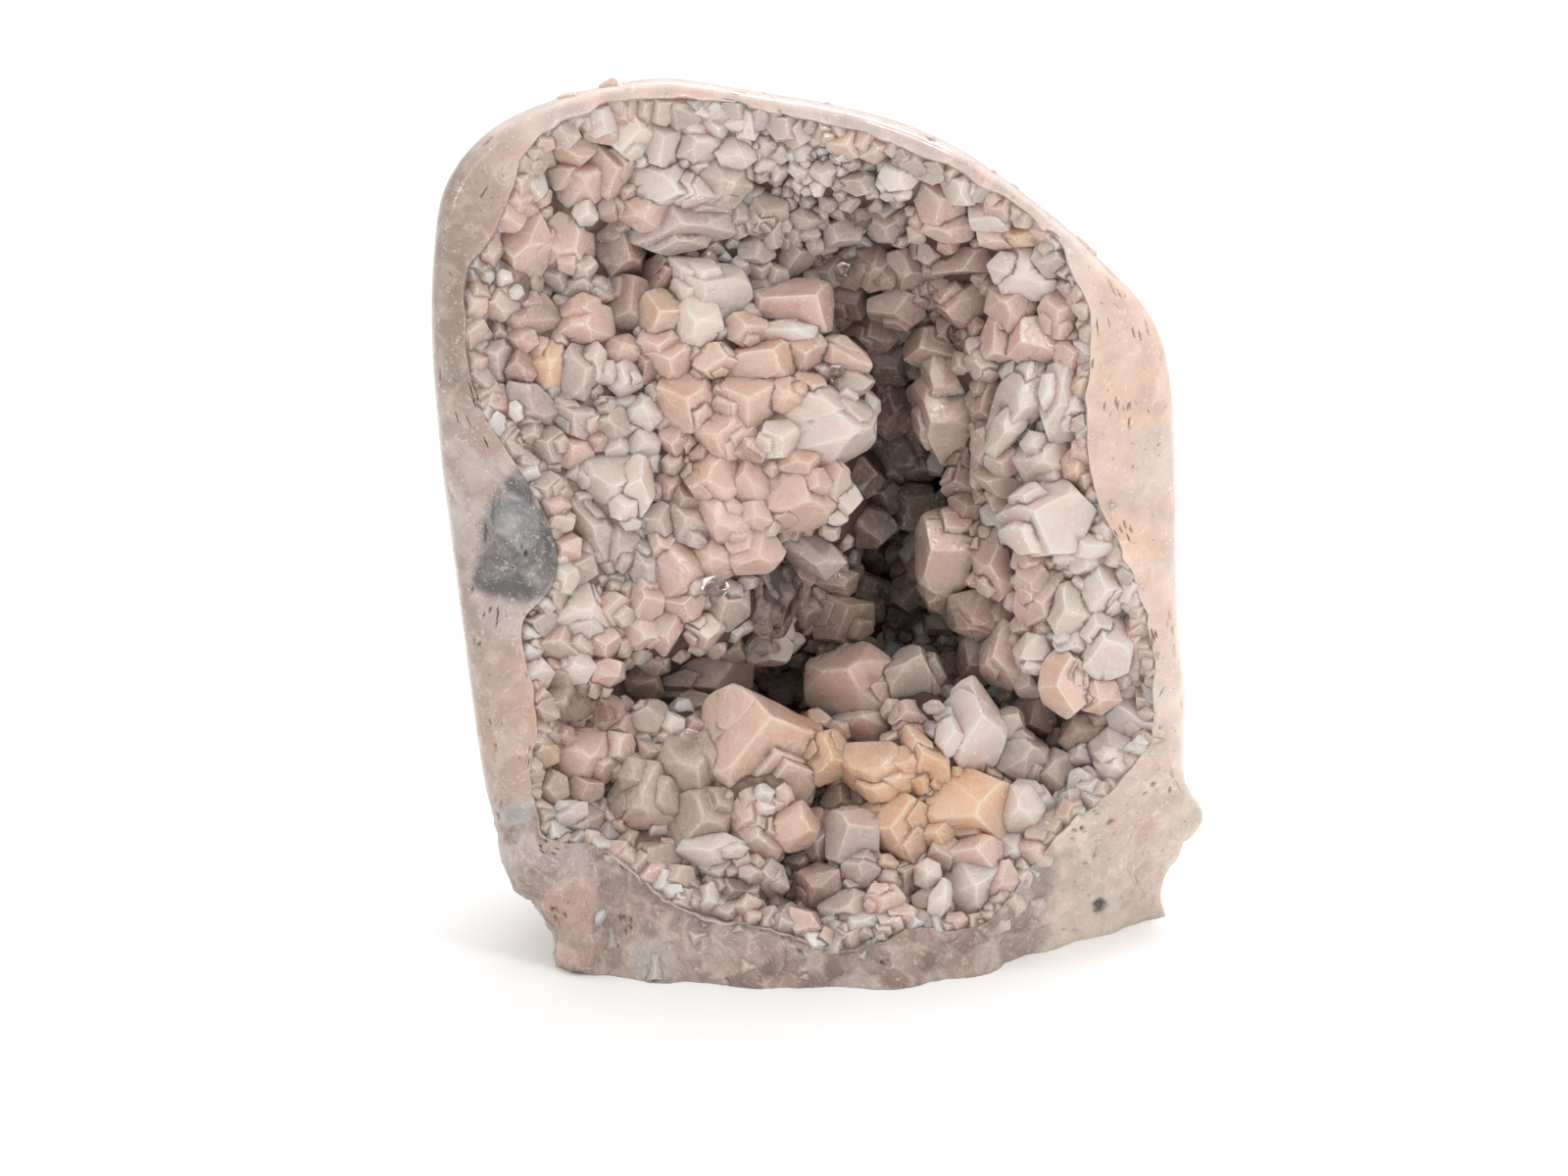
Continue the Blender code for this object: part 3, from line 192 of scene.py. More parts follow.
# Broken quartz in low relief on the front below the hollow
LOWER_FRONT = """
    -27.2 5 3 5.2 0.3 b 8 0.2 0; -22 6.2 4.4 2.6 0.4 b 0 0 0.4; -21.2 0.4 3.4 3.2 -0.1 g;
    -16.2 9.6 3.4 2.8 0.5 b 15 0.3 0; -15.2 4.2 3.4 3.4 0.2 p; -9.6 5.6 3.6 3 0.3 b -20 0 0.3;
    -8.6 0.2 3.4 2.8 0.1 b; -3.4 5.2 3.4 3.6 0.3 g 20 0.4 0; -2.4 -0.6 3.4 2.6 0.2 b;
    -24.6 11.8 3.2 2.4 0.6 b; -19.4 13 3 2 0.5 p 10 0 0; -29 15.6 2.6 3.8 0.4 g;
    -13.9 17.2 4.2 2.2 0 w 0 0 -0.4; 2.4 2.8 3.2 3.6 0.1 g -25 0.3 0.3; 5.8 6.6 3.2 2.6 -0.2 w 20 0.4 0.4;
    7.4 1.6 3.2 3.4 0.2 g; 9.4 10 2.6 2.2 0.2 p 0 0 0.3; 12.8 6.4 2.6 2.4 0.1 w 0 0.3 0;
    16.6 5.8 1.2 1.9 -0.4 w 10 0.3 0.3; 17 10.4 1.5 2.6 -0.4 w -20 0.3 0.3; 15.4 13.8 1.6 2 0.6 w;
    21.4 16.6 3.4 2.6 0.2 p 0 0 0.3; 25 12.6 2.6 3 0.3 p; 28.6 9.6 2.4 1.8 0.4 g;
    27.8 23.2 2.6 2.6 0.4 w 0 0 0.3; 30.4 19.4 2 1.6 0.8 p; 34.6 22.8 2.2 2.8 0.8 g; 36.6 25.6 1.6 1.6 0.6 w;
    -32.6 22.4 2.4 1.4 0.2 w 25 0 0.3; -33.6 17.6 3 2.6 0.4 g; -32.4 13.2 2.4 1.2 0.3 b;
    -29.2 7.6 0.9 1.6 -0.5 w -30 0 0"""
# Places in the gaps between crystals, where the surface they grow on is deepest: across, up and depth
CREVICES = [
    (-22, 96.5, 16), (-35, 93.6, 7), (10, 62, 42), (8.5, 57.5, 42), (14, 68.4, 36), (8.5, 74, 30),
    (10.5, 47, 38), (17, 46, 33), (-6, 42, 36), (-3, 40.8, 36), (-20, 38, 22), (-29.8, 26.2, 11),
    (29, 33.6, 19), (1, 24.4, 14), (-3.6, 13.6, 10), (5, 98, 17), (3, 88.5, 23), (9, 86, 26),
    (17.5, 40.4, 26), (25, 38, 20), (13, 88, 20), (10, 81, 28), (14, 50, 36), (7, 53, 36),
]

# The colour of each look and of the stone's zones, as the eye sees it, in shares of full white
LOOKS = {
    "p": (0.87, 0.75, 0.69), "w": (0.93, 0.86, 0.82), "b": (0.74, 0.63, 0.575), "g": (0.78, 0.71, 0.67),
    # d is a darker copy of the quartz colour: painted shade for the crystals deep in the cleft
    "o": (0.90, 0.75, 0.64), "r": (0.88, 0.755, 0.68), "d": (0.52, 0.44, 0.405), "s": (0.75, 0.665, 0.60),
}
# Dark brown, used as painted shade at crystal roots, at seams and on the crust floor in the crevices, and as
# the real brown of iron grime and specks
SHADE_AND_IRON_BROWN = (0.34, 0.25, 0.215)
# The rim's painted shade (darker, on its left) and painted light (paler, on its right side and along its top)
# are darker and paler copies of the pink polish
PINK_POLISH, LEFT_RIM_PAINTED_SHADE, RIM_PAINTED_LIGHT = (0.735, 0.63, 0.58), (0.60, 0.52, 0.475), (0.86, 0.79, 0.75)
SANDY_PEACH, MATRIX_CREAM, BACK_SKIN = (0.81, 0.69, 0.61), (0.775, 0.71, 0.645), (0.64, 0.56, 0.51)
AGATE_GREY, AGATE_PALE, CELL_BROWN = (0.33, 0.315, 0.32), (0.66, 0.64, 0.635), (0.47, 0.395, 0.355)
CELL_LINE, BLOCK_PINK = (0.70, 0.63, 0.59), (0.70, 0.585, 0.53)
AGATE_WINDOW = [(-39, 70), (-37, 68.5), (-33.5, 64), (-31.8, 62), (-31.3, 58.7), (-31, 54), (-35, 52.2),
                (-40, 52), (-45, 54), (-44.3, 58.7), (-43.3, 64), (-41, 67.5)]
BROKEN_BLOCK = [(-34.5, 1), (-34.2, 6), (-36.5, 10), (-33, 13.5), (-29.5, 12), (-29.6, 7), (-30, 1)]
# Round and oval marks on the stone: across, up, half width, half height, turn, how strong, and their colour
SPOTS = [
    (29.8, 15.2, 3.0, 5.0, 10, 0.8, (0.60, 0.535, 0.50)), (43.8, 12.5, 3.6, 4.5, 0, 0.7, (0.74, 0.64, 0.60)),
    (43.0, 21.0, 3.6, 3.2, 0, 0.7, (0.76, 0.65, 0.60)), (38.4, 9.4, 0.8, 1.2, 0, 1.0, (0.36, 0.33, 0.33)),
    (-39.8, 22.3, 2.2, 1.7, 0, 0.8, (0.60, 0.60, 0.60)), (-33.5, 57.2, 0.7, 0.5, 0, 0.9, (0.35, 0.26, 0.22)),
    (-22.0, 1.5, 3.2, 2.8, 0, 0.6, (0.66, 0.65, 0.64)), (-39.0, 62.5, 3.0, 4.0, 20, 0.45, (0.62, 0.62, 0.63)),
]

# Stains on the front: across, up, reach, how strong, and the colour that they turn the quartz to
STAINS = [
    (15.0, 27.5, 3.6, 0.55, (0.90, 0.68, 0.49)), (20.0, 28.0, 2.6, 0.5, (0.90, 0.68, 0.48)),
    (5.0, 29.0, 3.6, 0.35, (0.88, 0.68, 0.52)), (-1.5, 35.5, 2.6, 0.5, (0.84, 0.60, 0.44)),
    (11.0, 22.0, 4.0, 0.25, (0.90, 0.72, 0.56)), (-15.8, 71.0, 1.5, 0.6, (0.66, 0.40, 0.27)),
    (-8.0, 72.0, 16.0, 0.10, (0.86, 0.72, 0.62)), (27.0, 100.0, 3.0, 0.35, (0.86, 0.70, 0.54)),
    (-40.0, 34.0, 9.0, 0.30, (0.72, 0.59, 0.48)), (38.0, 70.0, 8.0, 0.30, (0.86, 0.67, 0.55)),
]


def place(across, up, depth):
    """Points, in millimetres, that lie depth behind the rim's plane on the lines of sight through
    (across, up)."""
    across, up, depth = np.broadcast_arrays(across, up, depth)
    stretch = 1.0 + depth / -VIEWPOINT[1]
    return np.stack([VIEWPOINT[0] + (across - VIEWPOINT[0]) * stretch, depth,
                     VIEWPOINT[2] + (up - VIEWPOINT[2]) * stretch], axis=-1)


def as_seen(points):
    """The across and up that place() was given for these points."""
    stretch = 1.0 + points[..., 1] / -VIEWPOINT[1]
    return (VIEWPOINT[0] + (points[..., 0] - VIEWPOINT[0]) / stretch,
            VIEWPOINT[2] + (points[..., 2] - VIEWPOINT[2]) / stretch)


def metres(points):
    """The front's layout in metres, from the origin under the middle of the stone."""
    return (points - MIDDLE) * MM


def smooth_loop(points, steps=8):
    """A closed Catmull-Rom curve through the points."""
    corners = np.array(points, float)
    before, after, beyond = np.roll(corners, 1, 0), np.roll(corners, -1, 0), np.roll(corners, -2, 0)
    curve = []
    for t in np.arange(steps) / steps:
        curve.append(0.5 * (2 * corners + (after - before) * t
                            + (2 * before - 5 * corners + 4 * after - beyond) * t ** 2
                            + (3 * corners - before - 3 * after + beyond) * t ** 3))
    return np.stack(curve, axis=1).reshape(-1, 2)


def radii(points, angles, centre=CENTRE):
    """How far an outline lies from a place inside it at the given angles."""
    curve = smooth_loop(points) - centre
    found = np.arctan2(curve[:, 1], curve[:, 0])
    order = np.argsort(found)
    return np.interp(angles, found[order], np.hypot(curve[:, 0], curve[:, 1])[order], period=math.tau)


def weighted(points, across, up, softness, power):
    """A smooth surface through scattered depths: each counts less the further away it is."""
    points = np.asarray(points, float)
    across, up = np.asarray(across, float)[..., None], np.asarray(up, float)[..., None]
    weights = ((across - points[:, 0]) ** 2 + (up - points[:, 1]) ** 2 + softness ** 2) ** -power
    return (weights * points[:, 2]).sum(-1) / weights.sum(-1)


def front_depth(across, up):
    return weighted(FRONT, across, up, softness=5.0, power=1.8)


def bowl_depth(across, up, share):
    """The rind's hollow: shallow at its edge (share 1) and deepest in the middle."""
    return front_depth(across, up) + BOWL_EDGE + (BOWL_DEPTH - BOWL_EDGE) * (1.0 - share ** BOWL_ROUNDNESS)


def on_ring(reach, angles):
    """Across and up at the given distances from CENTRE."""
    return CENTRE[0] + reach * np.cos(angles), CENTRE[1] + reach * np.sin(angles)


def share_of(across, up, outline):
    """How far out a place is: 0 at CENTRE and 1 on the outline."""
    reach = radii(outline, np.arctan2(up - CENTRE[1], across - CENTRE[0]))
    return np.hypot(across - CENTRE[0], up - CENTRE[1]) / reach


def value_noise(points, size, seed=0):
    """Smooth noise from 0 to 1 over points in millimetres, with features of the given size."""
    cells = np.floor(points / size)
    part = points / size - cells
    part = part * part * (3 - 2 * part)
    total = 0.0
    for corner in range(8):
        step = np.array([corner & 1, corner >> 1 & 1, corner >> 2 & 1])
        mixed = np.sin((cells + step) @ np.array([127.1, 311.7, 74.7]) + seed * 57.3) * 43758.5453
        weight = np.prod(np.where(step, part, 1 - part), axis=-1)
        total = total + weight * (mixed - np.floor(mixed))
    return total


def fractal(points, size, octaves=3, seed=0):
    """Several sizes of noise added up, from 0 to 1."""
    total, weight = 0.0, 0.0
    for octave in range(octaves):
        total = total + 0.5 ** octave * value_noise(points, size * 0.5 ** octave, seed + 13 * octave)
        weight += 0.5 ** octave
    return total / weight


def cells(points, size, seed=0):
    """Rounded cells of the given size over points in millimetres: how near each point is to the border of
    its cell (0 there, up to about 1 in its middle), and a number from 0 to 1 for its cell."""
    home = np.floor(points / size)
    nearest = np.full(points.shape[:-1], 9.0)
    second, own = nearest.copy(), nearest.copy()
    for corner in np.ndindex(3, 3, 3):
        cell = home + np.array(corner) - 1
        jitter = []
        for axis, weights in enumerate(((127.1, 311.7, 74.7), (269.5, 183.3, 246.1), (113.5, 271.9, 124.6))):
            mixed = np.sin(cell @ np.array(weights) + seed * 31.7 + axis) * 43758.5453
            jitter.append(mixed - np.floor(mixed))
        away = np.linalg.norm(cell + np.stack(jitter, -1) - points / size, axis=-1)
        closer = away < nearest
        second = np.where(closer, nearest, np.minimum(second, away))
        own = np.where(closer, jitter[0], own)
        nearest = np.minimum(nearest, away)
    return second - nearest, own


def seen(colour):
    """A colour as the eye sees it, from 0 to 1, in the renderer's own linear values."""
    return np.asarray(colour, float) ** 2.2


def step_up(low, high, value):
    """0 below low, 1 above high, and smooth between."""
    part = np.clip((value - low) / (high - low), 0, 1)
    return part * part * (3 - 2 * part)


def blended(colour, other, share):
    """Colours turned towards another colour, each by its own share."""
    share = np.clip(share, 0, 1)[..., None]
    return colour * (1 - share) + share * np.asarray(other)


def crystal_rows(table):
    """The crystals of a table, as across, up, half width, half height, turn, lean across, lean up, crest and
    look."""
    rows = []
    for row in table.split(";"):
        across, up, half_width, half_height, crest, look, *rest = row.split()
        rows.append((*map(float, (across, up, half_width, half_height, *(rest or (0, 0, 0)), crest)), look))
    return rows


def crystal_planes(chance, rough):
    """The flat faces of one blunt quartz crystal of half width 1, as outward directions and distances: six
    steep sides, six faces that meet in the tip, three of them larger, a few breaks, and the root."""
    planes = []
    uneven = chance.uniform(0.05, 0.32)
    slope = math.radians(chance.uniform(42, 56))
    height = chance.uniform(0.7, 1.1)
    first = chance.uniform(0, math.tau)
    for side in range(6):
        angle = first + side * math.tau / 6 + chance.uniform(-0.1, 0.1)
        out = np.array([math.cos(angle), math.sin(angle)])
        planes.append((*out * 0.995, -0.1, chance.uniform(0.92, 1.05)))
        away = height * math.cos(slope) * (1 + uneven * (-1) ** side + chance.uniform(-0.07, 0.07))
        planes.append((*out * math.sin(slope), math.cos(slope), away))
    for _ in range(chance.integers(1, 4) + 3 * rough):
        tilt, angle = chance.uniform(0.1, 1.3), chance.uniform(0, math.tau)
        away = chance.uniform(0.72, 0.95) * height * (1 - 0.25 * math.sin(tilt))
        planes.append((math.sin(tilt) * math.cos(angle), math.sin(tilt) * math.sin(angle),
                       math.cos(tilt), away))
    planes.append((0, 0, -1, 1.7))
    return np.array(planes)


def corners_and_faces(planes):
    """The corners of the body that the planes enclose, and each face as the ring of its corners."""
    mesh = bmesh.new()
    for plane in planes:
        mesh.verts.new(plane[:3] / plane[3])
    bmesh.ops.convex_hull(mesh, input=mesh.verts)
    mesh.verts.index_update()
    meeting = np.array([[v.index for v in f.verts] for f in mesh.faces])
    mesh.free()
    corners = np.linalg.solve(planes[meeting, :3], planes[meeting, 3, None])[..., 0]
    after = {}
    for corner, (a, b, c) in enumerate(meeting):
        for face, here, there in ((a, b, c), (b, c, a), (c, a, b)):
            after.setdefault(face, {})[here] = (corner, there)
    faces = []
    for steps in after.values():
        start = here = next(iter(steps))
        ring = []
        while not ring or here != start:
            corner, here = steps[here]
            ring.append(corner)
        faces.append(ring)
    return corners, faces


def faceted(planes, size, step, insets):
    """A net over the body that the planes enclose: its points, its faces, and how near an edge of the body
    each point is. Its edges are cut into steps, and rings of points follow them inside each face."""
    corners, faces = corners_and_faces(planes)
    points, number, along = list(corners), {}, {}
    edge = [1.0] * len(corners)
    net = []

    def add(point, near):
        points.append(point)
        edge.append(near)
        return len(points) - 1

    for ring in faces:
        border = []
        for start, end in zip(ring, np.roll(ring, -1)):
            key = (min(start, end), max(start, end))
            if key not in along:
                a, b = corners[key[0]], corners[key[1]]
                cuts = max(1, round(float(np.linalg.norm(b - a)) * size / step))
                along[key] = [add(a + (b - a) * k / cuts, 1.0) for k in range(1, cuts)]
            border += [start, *(along[key] if key[0] == start else along[key][::-1])]
        middle = np.mean([points[k] for k in border], axis=0)
        outer = border
        for inset, near in insets:
            inner = [add(middle + (points[k] - middle) * inset, near) for k in border]
            for j in range(len(border)):
                k = (j + 1) % len(border)
                net.append((outer[j], outer[k], inner[k], inner[j]))
            outer = inner
        centre = add(middle, 0.0)
        for j in range(len(border)):
            net.append((outer[j], outer[(j + 1) % len(border)], centre))
    return np.array(points), net, np.array(edge)


class Floor:
    """The surface that the crystals grow on, as depths behind the front surface."""

    def __init__(self, rows):
        behind = [(r[0], r[1], r[7] + 1.0 * min(r[2], r[3])) for r in rows]
        self.points = np.array(behind + CREVICES)

    def depth(self, across, up):
        return front_depth(across, up) + weighted(self.points, across, up, softness=1.2, power=2.5)

    def slope(self, across, up, reach=3.0):
        """How steeply the surface falls away across and up, over a few millimetres."""
        fall_across = self.depth(across + reach, up) - self.depth(across - reach, up)
        fall_up = self.depth(across, up + reach) - self.depth(across, up - reach)
        return fall_across / (2 * reach), fall_up / (2 * reach)


def crystal(row, floor, chance, planes=None, tilt=None):
    """One crystal's points in millimetres, its faces, its points' colours, and what its satellites share."""
    across, up, half_width, half_height, turn, lean_across, lean_up, crest, look = row
    size = math.sqrt(half_width * half_height)
    rough = look in "rs"
    if planes is None:
        planes = crystal_planes(chance, rough)
    fine = size > 1.9
    body, net, edge = faceted(planes, size, 0.8 if fine else 1.6, FINE_NET if fine else COARSE_NET)
    directions = body / np.linalg.norm(body, axis=1, keepdims=True)
    sharpness = chance.uniform(14, 24) if rough else chance.uniform(26, 60)
    closeness = np.maximum(directions @ planes[:, :3].T, 0) / planes[:, 3]
    reach = (closeness ** sharpness).sum(1) ** (-1 / sharpness)
    seed = chance.integers(1000)
    local = directions * reach[:, None]
    bumps = value_noise(local + 10, 0.5, seed) - 0.5 + 0.4 * (value_noise(local + 10, 0.2, seed) - 0.5)
    local = local * (1 + (0.10 if rough else 0.035) * bumps)[:, None]

    if tilt is None:
        falls = np.clip(floor.slope(across, up), -1.5, 1.5)
        tilt = 0.9 * np.array([lean_across, lean_up]) / size + 0.28 * falls + chance.normal(0, 0.13, 2)
    body = size * local @ np.array(Vector((0, 0, 1)).rotation_difference(Vector((*tilt, 1.0))).to_matrix()).T
    behind = body[:, 2].max() - body[:, 2]
    shown = body[behind < 1.1 * size, :2]
    low, high = shown.min(0), shown.max(0)
    flat = (body[:, :2] - (low + high) / 2) * (2.28 * np.array([half_width, half_height]) / (high - low))
    flat = flat @ np.array(Matrix.Rotation(math.radians(turn), 2)).T
    points = place(across + flat[:, 0], up + flat[:, 1], front_depth(across, up) + crest + behind)
    points[:, 2] = np.maximum(points[:, 2], BASE_CLEARANCE)
    return points, net, crystal_colour(points, behind / size, look, edge, chance), (planes, tilt)


def satellites(row, chance):
    """Smaller crystals that grew in step with a large one, part way into its sides."""
    across, up, half_width, half_height, turn, lean_across, lean_up, crest, look = row
    for _ in range(chance.integers(0, 3) + (half_width * half_height > 12)):
        angle, out, share = chance.uniform(0, math.tau), chance.uniform(0.45, 0.75), chance.uniform(0.4, 0.66)
        aside = Matrix.Rotation(math.radians(turn), 2) @ Vector((half_width * out * math.cos(angle),
                                                                half_height * out * math.sin(angle)))
        deeper = crest + chance.uniform(0.05, 0.45) * min(half_width, half_height)
        yield (across + aside.x, up + aside.y, half_width * share, half_height * share, turn,
               lean_across, lean_up, deeper, look)


def crystal_colour(points, behind, look, edge, chance):
    """Milky inside, paler at the edges as a painted highlight, darker and browner towards the root as painted
    shade with some iron brown, and each crystal a little different.
    """
    base = seen(LOOKS[look]) * chance.normal(1.0, 0.05)
    base = base * np.array([1.0, 1.0 + chance.normal(0, 0.008), 1.0 + chance.normal(0, 0.02)])
    cloud = fractal(points + chance.uniform(0, 50), 2.2, 3) - 0.5
    colour = base * (1 + 0.25 * cloud[:, None])
    # Painted highlight: paler towards each crystal's edges, where light catches and passes through
    colour = blended(colour, np.minimum(1.3 * base + 0.12, 0.95), chance.uniform(0.15, 0.5) * edge)
    # Painted shade, with some iron brown, towards the root where the crystal runs in behind its neighbours
    colour = blended(colour, seen(SHADE_AND_IRON_BROWN), 0.6 * np.clip(behind - 0.9, 0, 1))
    return stained(points, colour)


def stained(points, colour):
    """The colours with the iron stains over them."""
    across, up = as_seen(points)
    ragged = fractal(points, 2.5, 3, seed=5) - 0.5
    for stain_across, stain_up, reach, strength, tone in STAINS:
        away = np.hypot(across - stain_across, up - stain_up) / reach + 0.7 * ragged
        colour = blended(colour, seen(tone), strength * np.clip(1.25 - away, 0, 1) ** 0.8)
    return colour


def to_object(name, points, faces, colours, polish=None):
    """A mesh object from points in millimetres of the layout, with its colours as an attribute. Their
    alpha is KNOWN, because a union gives its new points white with an alpha of 1."""
    mesh = bpy.data.meshes.new(name)
    mesh.from_pydata(metres(points).tolist(), [], [list(face) for face in faces])
    full = np.full((len(points), 4), KNOWN, np.float32)
    full[:, :3] = np.clip(colours, 0.01, 0.95)
    mesh.attributes.new("tint", 'FLOAT_COLOR', 'POINT').data.foreach_set("color", full.ravel())
    if polish is not None:
        mesh.attributes.new("polish", 'FLOAT', 'POINT').data.foreach_set("value", polish.astype(np.float32))
    return bpy.data.objects.new(name, mesh)


def colour_seams(mesh):
    """Colours the new points where crystals meet: like their neighbours, but darker as painted shade in the
    crease, and browner in patches of iron grime.
    """
    tint = np.empty(len(mesh.vertices) * 4, np.float32)
    mesh.attributes["tint"].data.foreach_get("color", tint)
    tint = tint.reshape(-1, 4)
    edges = np.empty(len(mesh.edges) * 2, np.int32)
    mesh.edges.foreach_get("vertices", edges)
    edges = edges.reshape(-1, 2)
    new, met = tint[:, 3] > 0.9, np.zeros(len(tint), bool)
    for _ in range(3):
        total, count = np.zeros((len(tint), 3)), np.zeros(len(tint))
        for near, far in (edges.T, edges.T[::-1]):
            good = new[near] & ~new[far]
            np.add.at(total, near[good], tint[far[good], :3])
            np.add.at(count, near[good], 1)
        found = new & (count > 0)
        tint[found, :3] = total[found] / count[found, None]
        new, met = new & ~found, met | found
    places = np.empty(len(mesh.vertices) * 3, np.float32)
    mesh.vertices.foreach_get("co", places)
    grime = step_up(0.42, 0.66, fractal(places.reshape(-1, 3) / MM, 3.5, 3, seed=77))
    # Painted shade in the crease: every seam point a little darker, then browner in patches of iron grime
    tint[met, :3] = blended(tint[met, :3] * 0.86, seen(SHADE_AND_IRON_BROWN), 0.75 * grime[met])
    tint[:, 3] = 1.0
    mesh.attributes["tint"].data.foreach_set("color", tint.ravel())


def finish_piece(piece, finish, *replaced, slot="quartz"):
    """Shades a piece smooth between its creases, gives it its material, and fixes it to the stone."""
    mesh = piece.data
    mesh.polygons.foreach_set("use_smooth", [True] * len(mesh.polygons))
    mesh.set_sharp_from_angle(angle=CREASE)
    mesh.materials.clear()
    mesh.materials.append(finish)
    if piece.name not in bpy.context.scene.collection.objects:
        bpy.context.scene.collection.objects.link(piece)
    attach(piece, "root")
    if replaced:
        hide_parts(*replaced)
    return piece


def grow_together(name, members):
    """One watertight piece from overlapping closed ones."""
    grown = bpy.data.collections.new(name)
    bpy.context.scene.collection.children.link(grown)
    bpy.context.scene.collection.objects.link(members[0])
    for member in members[1:]:
        grown.objects.link(member)
    union = members[0].modifiers.new("grow together", 'BOOLEAN')
    union.solver = 'MANIFOLD'
    union.operation = 'UNION'
    union.operand_type = 'COLLECTION'
    union.collection = grown
    seen_now = members[0].evaluated_get(bpy.context.evaluated_depsgraph_get())
    mesh = bpy.data.meshes.new_from_object(seen_now)
    for member in members:
        bpy.data.objects.remove(member)
    bpy.data.collections.remove(grown)
    colour_seams(mesh)
    mesh.name = name
    return bpy.data.objects.new(name, mesh)


def fill_rows(groups, floor, chance):
    """Small crystals between the larger ones, each given to the group of the nearest large one."""
    rows = [(row, name) for name, group in groups.items() for row in group]
    large = np.array([row[0][:4] for row in rows])
    across = chance.uniform(-47, 47, FILL_TRIES)
    up = chance.uniform(2, 120, FILL_TRIES)
    spread = chance.uniform(0, 1, FILL_TRIES)
    inside = share_of(across, up, HOLLOW_EDGE)
    kept = np.empty((0, 3))
    filled = {name: [] for name in groups}
    for s, t, share, luck in zip(across, up, inside, spread):
        top = math.exp(-((s - 1) / 11) ** 2 - ((t - 110) / 8) ** 2)
        size = (0.9 + 1.2 * luck ** 1.4) * (1 - 0.35 * top)
        if share > 0.985:
            continue
        away = np.hypot((s - large[:, 0]) / (large[:, 2] + 0.35 * size),
                        (t - large[:, 1]) / (large[:, 3] + 0.35 * size))
        if away.min() < 0.92:
            continue
        if len(kept) and (np.hypot(s - kept[:, 0], t - kept[:, 1]) < 0.66 * (size + kept[:, 2])).any():
            continue
        kept = np.vstack([kept, (s, t, size)])
        row, name = rows[int(away.argmin())]
        crest = floor.depth(s, t) - front_depth(s, t) - chance.uniform(0.3, 1.1) * size
        size *= 1.2
        tall = size * chance.uniform(0.8, 1.25)
        look = row[8] if row[8] not in "rs" else "p"
        filled[name].append((s, t, size, tall, chance.uniform(0, 90), 0, 0, crest, look))
    return filled


def border_rows(chance):
    """Crystals all round the hollow's edge, where the polished rim cuts into them."""
    outline = smooth_loop(HOLLOW_EDGE, 24)
    travelled = np.cumsum(np.hypot(*(np.roll(outline, -1, 0) - outline).T))
    at, rows = 0.0, []
    while at < travelled[-1]:
        size = chance.uniform(1.1, 2.5)
        s, t = outline[np.searchsorted(travelled, at) % len(outline)]
        inward = (CENTRE - (s, t)) / np.linalg.norm(CENTRE - (s, t)) * chance.uniform(-0.1, 0.8) * size
        rows.append((s + inward[0], t + inward[1], size, size * chance.uniform(0.75, 1.2),
                     chance.uniform(0, 90), 0, 0, chance.uniform(-0.15, 0.5),
                     chance.choice(["p", "w", "p", "g"])))
        at += size * chance.uniform(0.85, 1.15)
    return rows


def grow_rows(name, rows, floor, finish, replaced):
    """One piece from rows of crystals and their satellites."""
    members = []
    for row in rows:
        points, net, colour, kin = crystal(row, floor, RANDOM)
        members.append(to_object("crystal", points, net, colour))
        if min(row[2], row[3]) > SATELLITES_FROM:
            for smaller in satellites(row, RANDOM):
                points, net, colour, _ = crystal(smaller, floor, RANDOM, *kin)
                members.append(to_object("crystal", points, net, colour))
    finish_piece(grow_together(name, members), finish, replaced)


def crystal_pieces(finish):
    """The crystals, grown together in groups, and the surface that they grow on."""
    groups = {name: crystal_rows(table) for name, table in CRYSTALS.items()}
    floor = Floor([row for group in groups.values() for row in group])
    fill = fill_rows(groups, floor, RANDOM)
    for row in border_rows(RANDOM):
        nearest = min(groups, key=lambda name: min(math.hypot(r[0] - row[0], r[1] - row[1])
                                                   for r in groups[name]))
        fill[nearest].append(row)
    for name, group in groups.items():
        grow_rows(name, group + fill[name], floor, finish, "crystal_crust")
    grow_rows("crystals_lower_front", crystal_rows(LOWER_FRONT), floor, finish, "rind")
    return floor


def rings_to_faces(rings, around, first, last):
    """Faces over rings of points numbered ring by ring, closed on the single points first and last."""
    j = np.arange(around)
    k = (j + 1) % around
    faces = np.stack([np.full(around, first), j, k], 1).tolist()
    for ring in range(rings - 1):
        near, far = ring * around, (ring + 1) * around
        faces += np.stack([near + j, far + j, far + k, near + k], 1).tolist()
    end = (rings - 1) * around
    faces += np.stack([np.full(around, last), end + k, end + j], 1).tolist()
    return faces


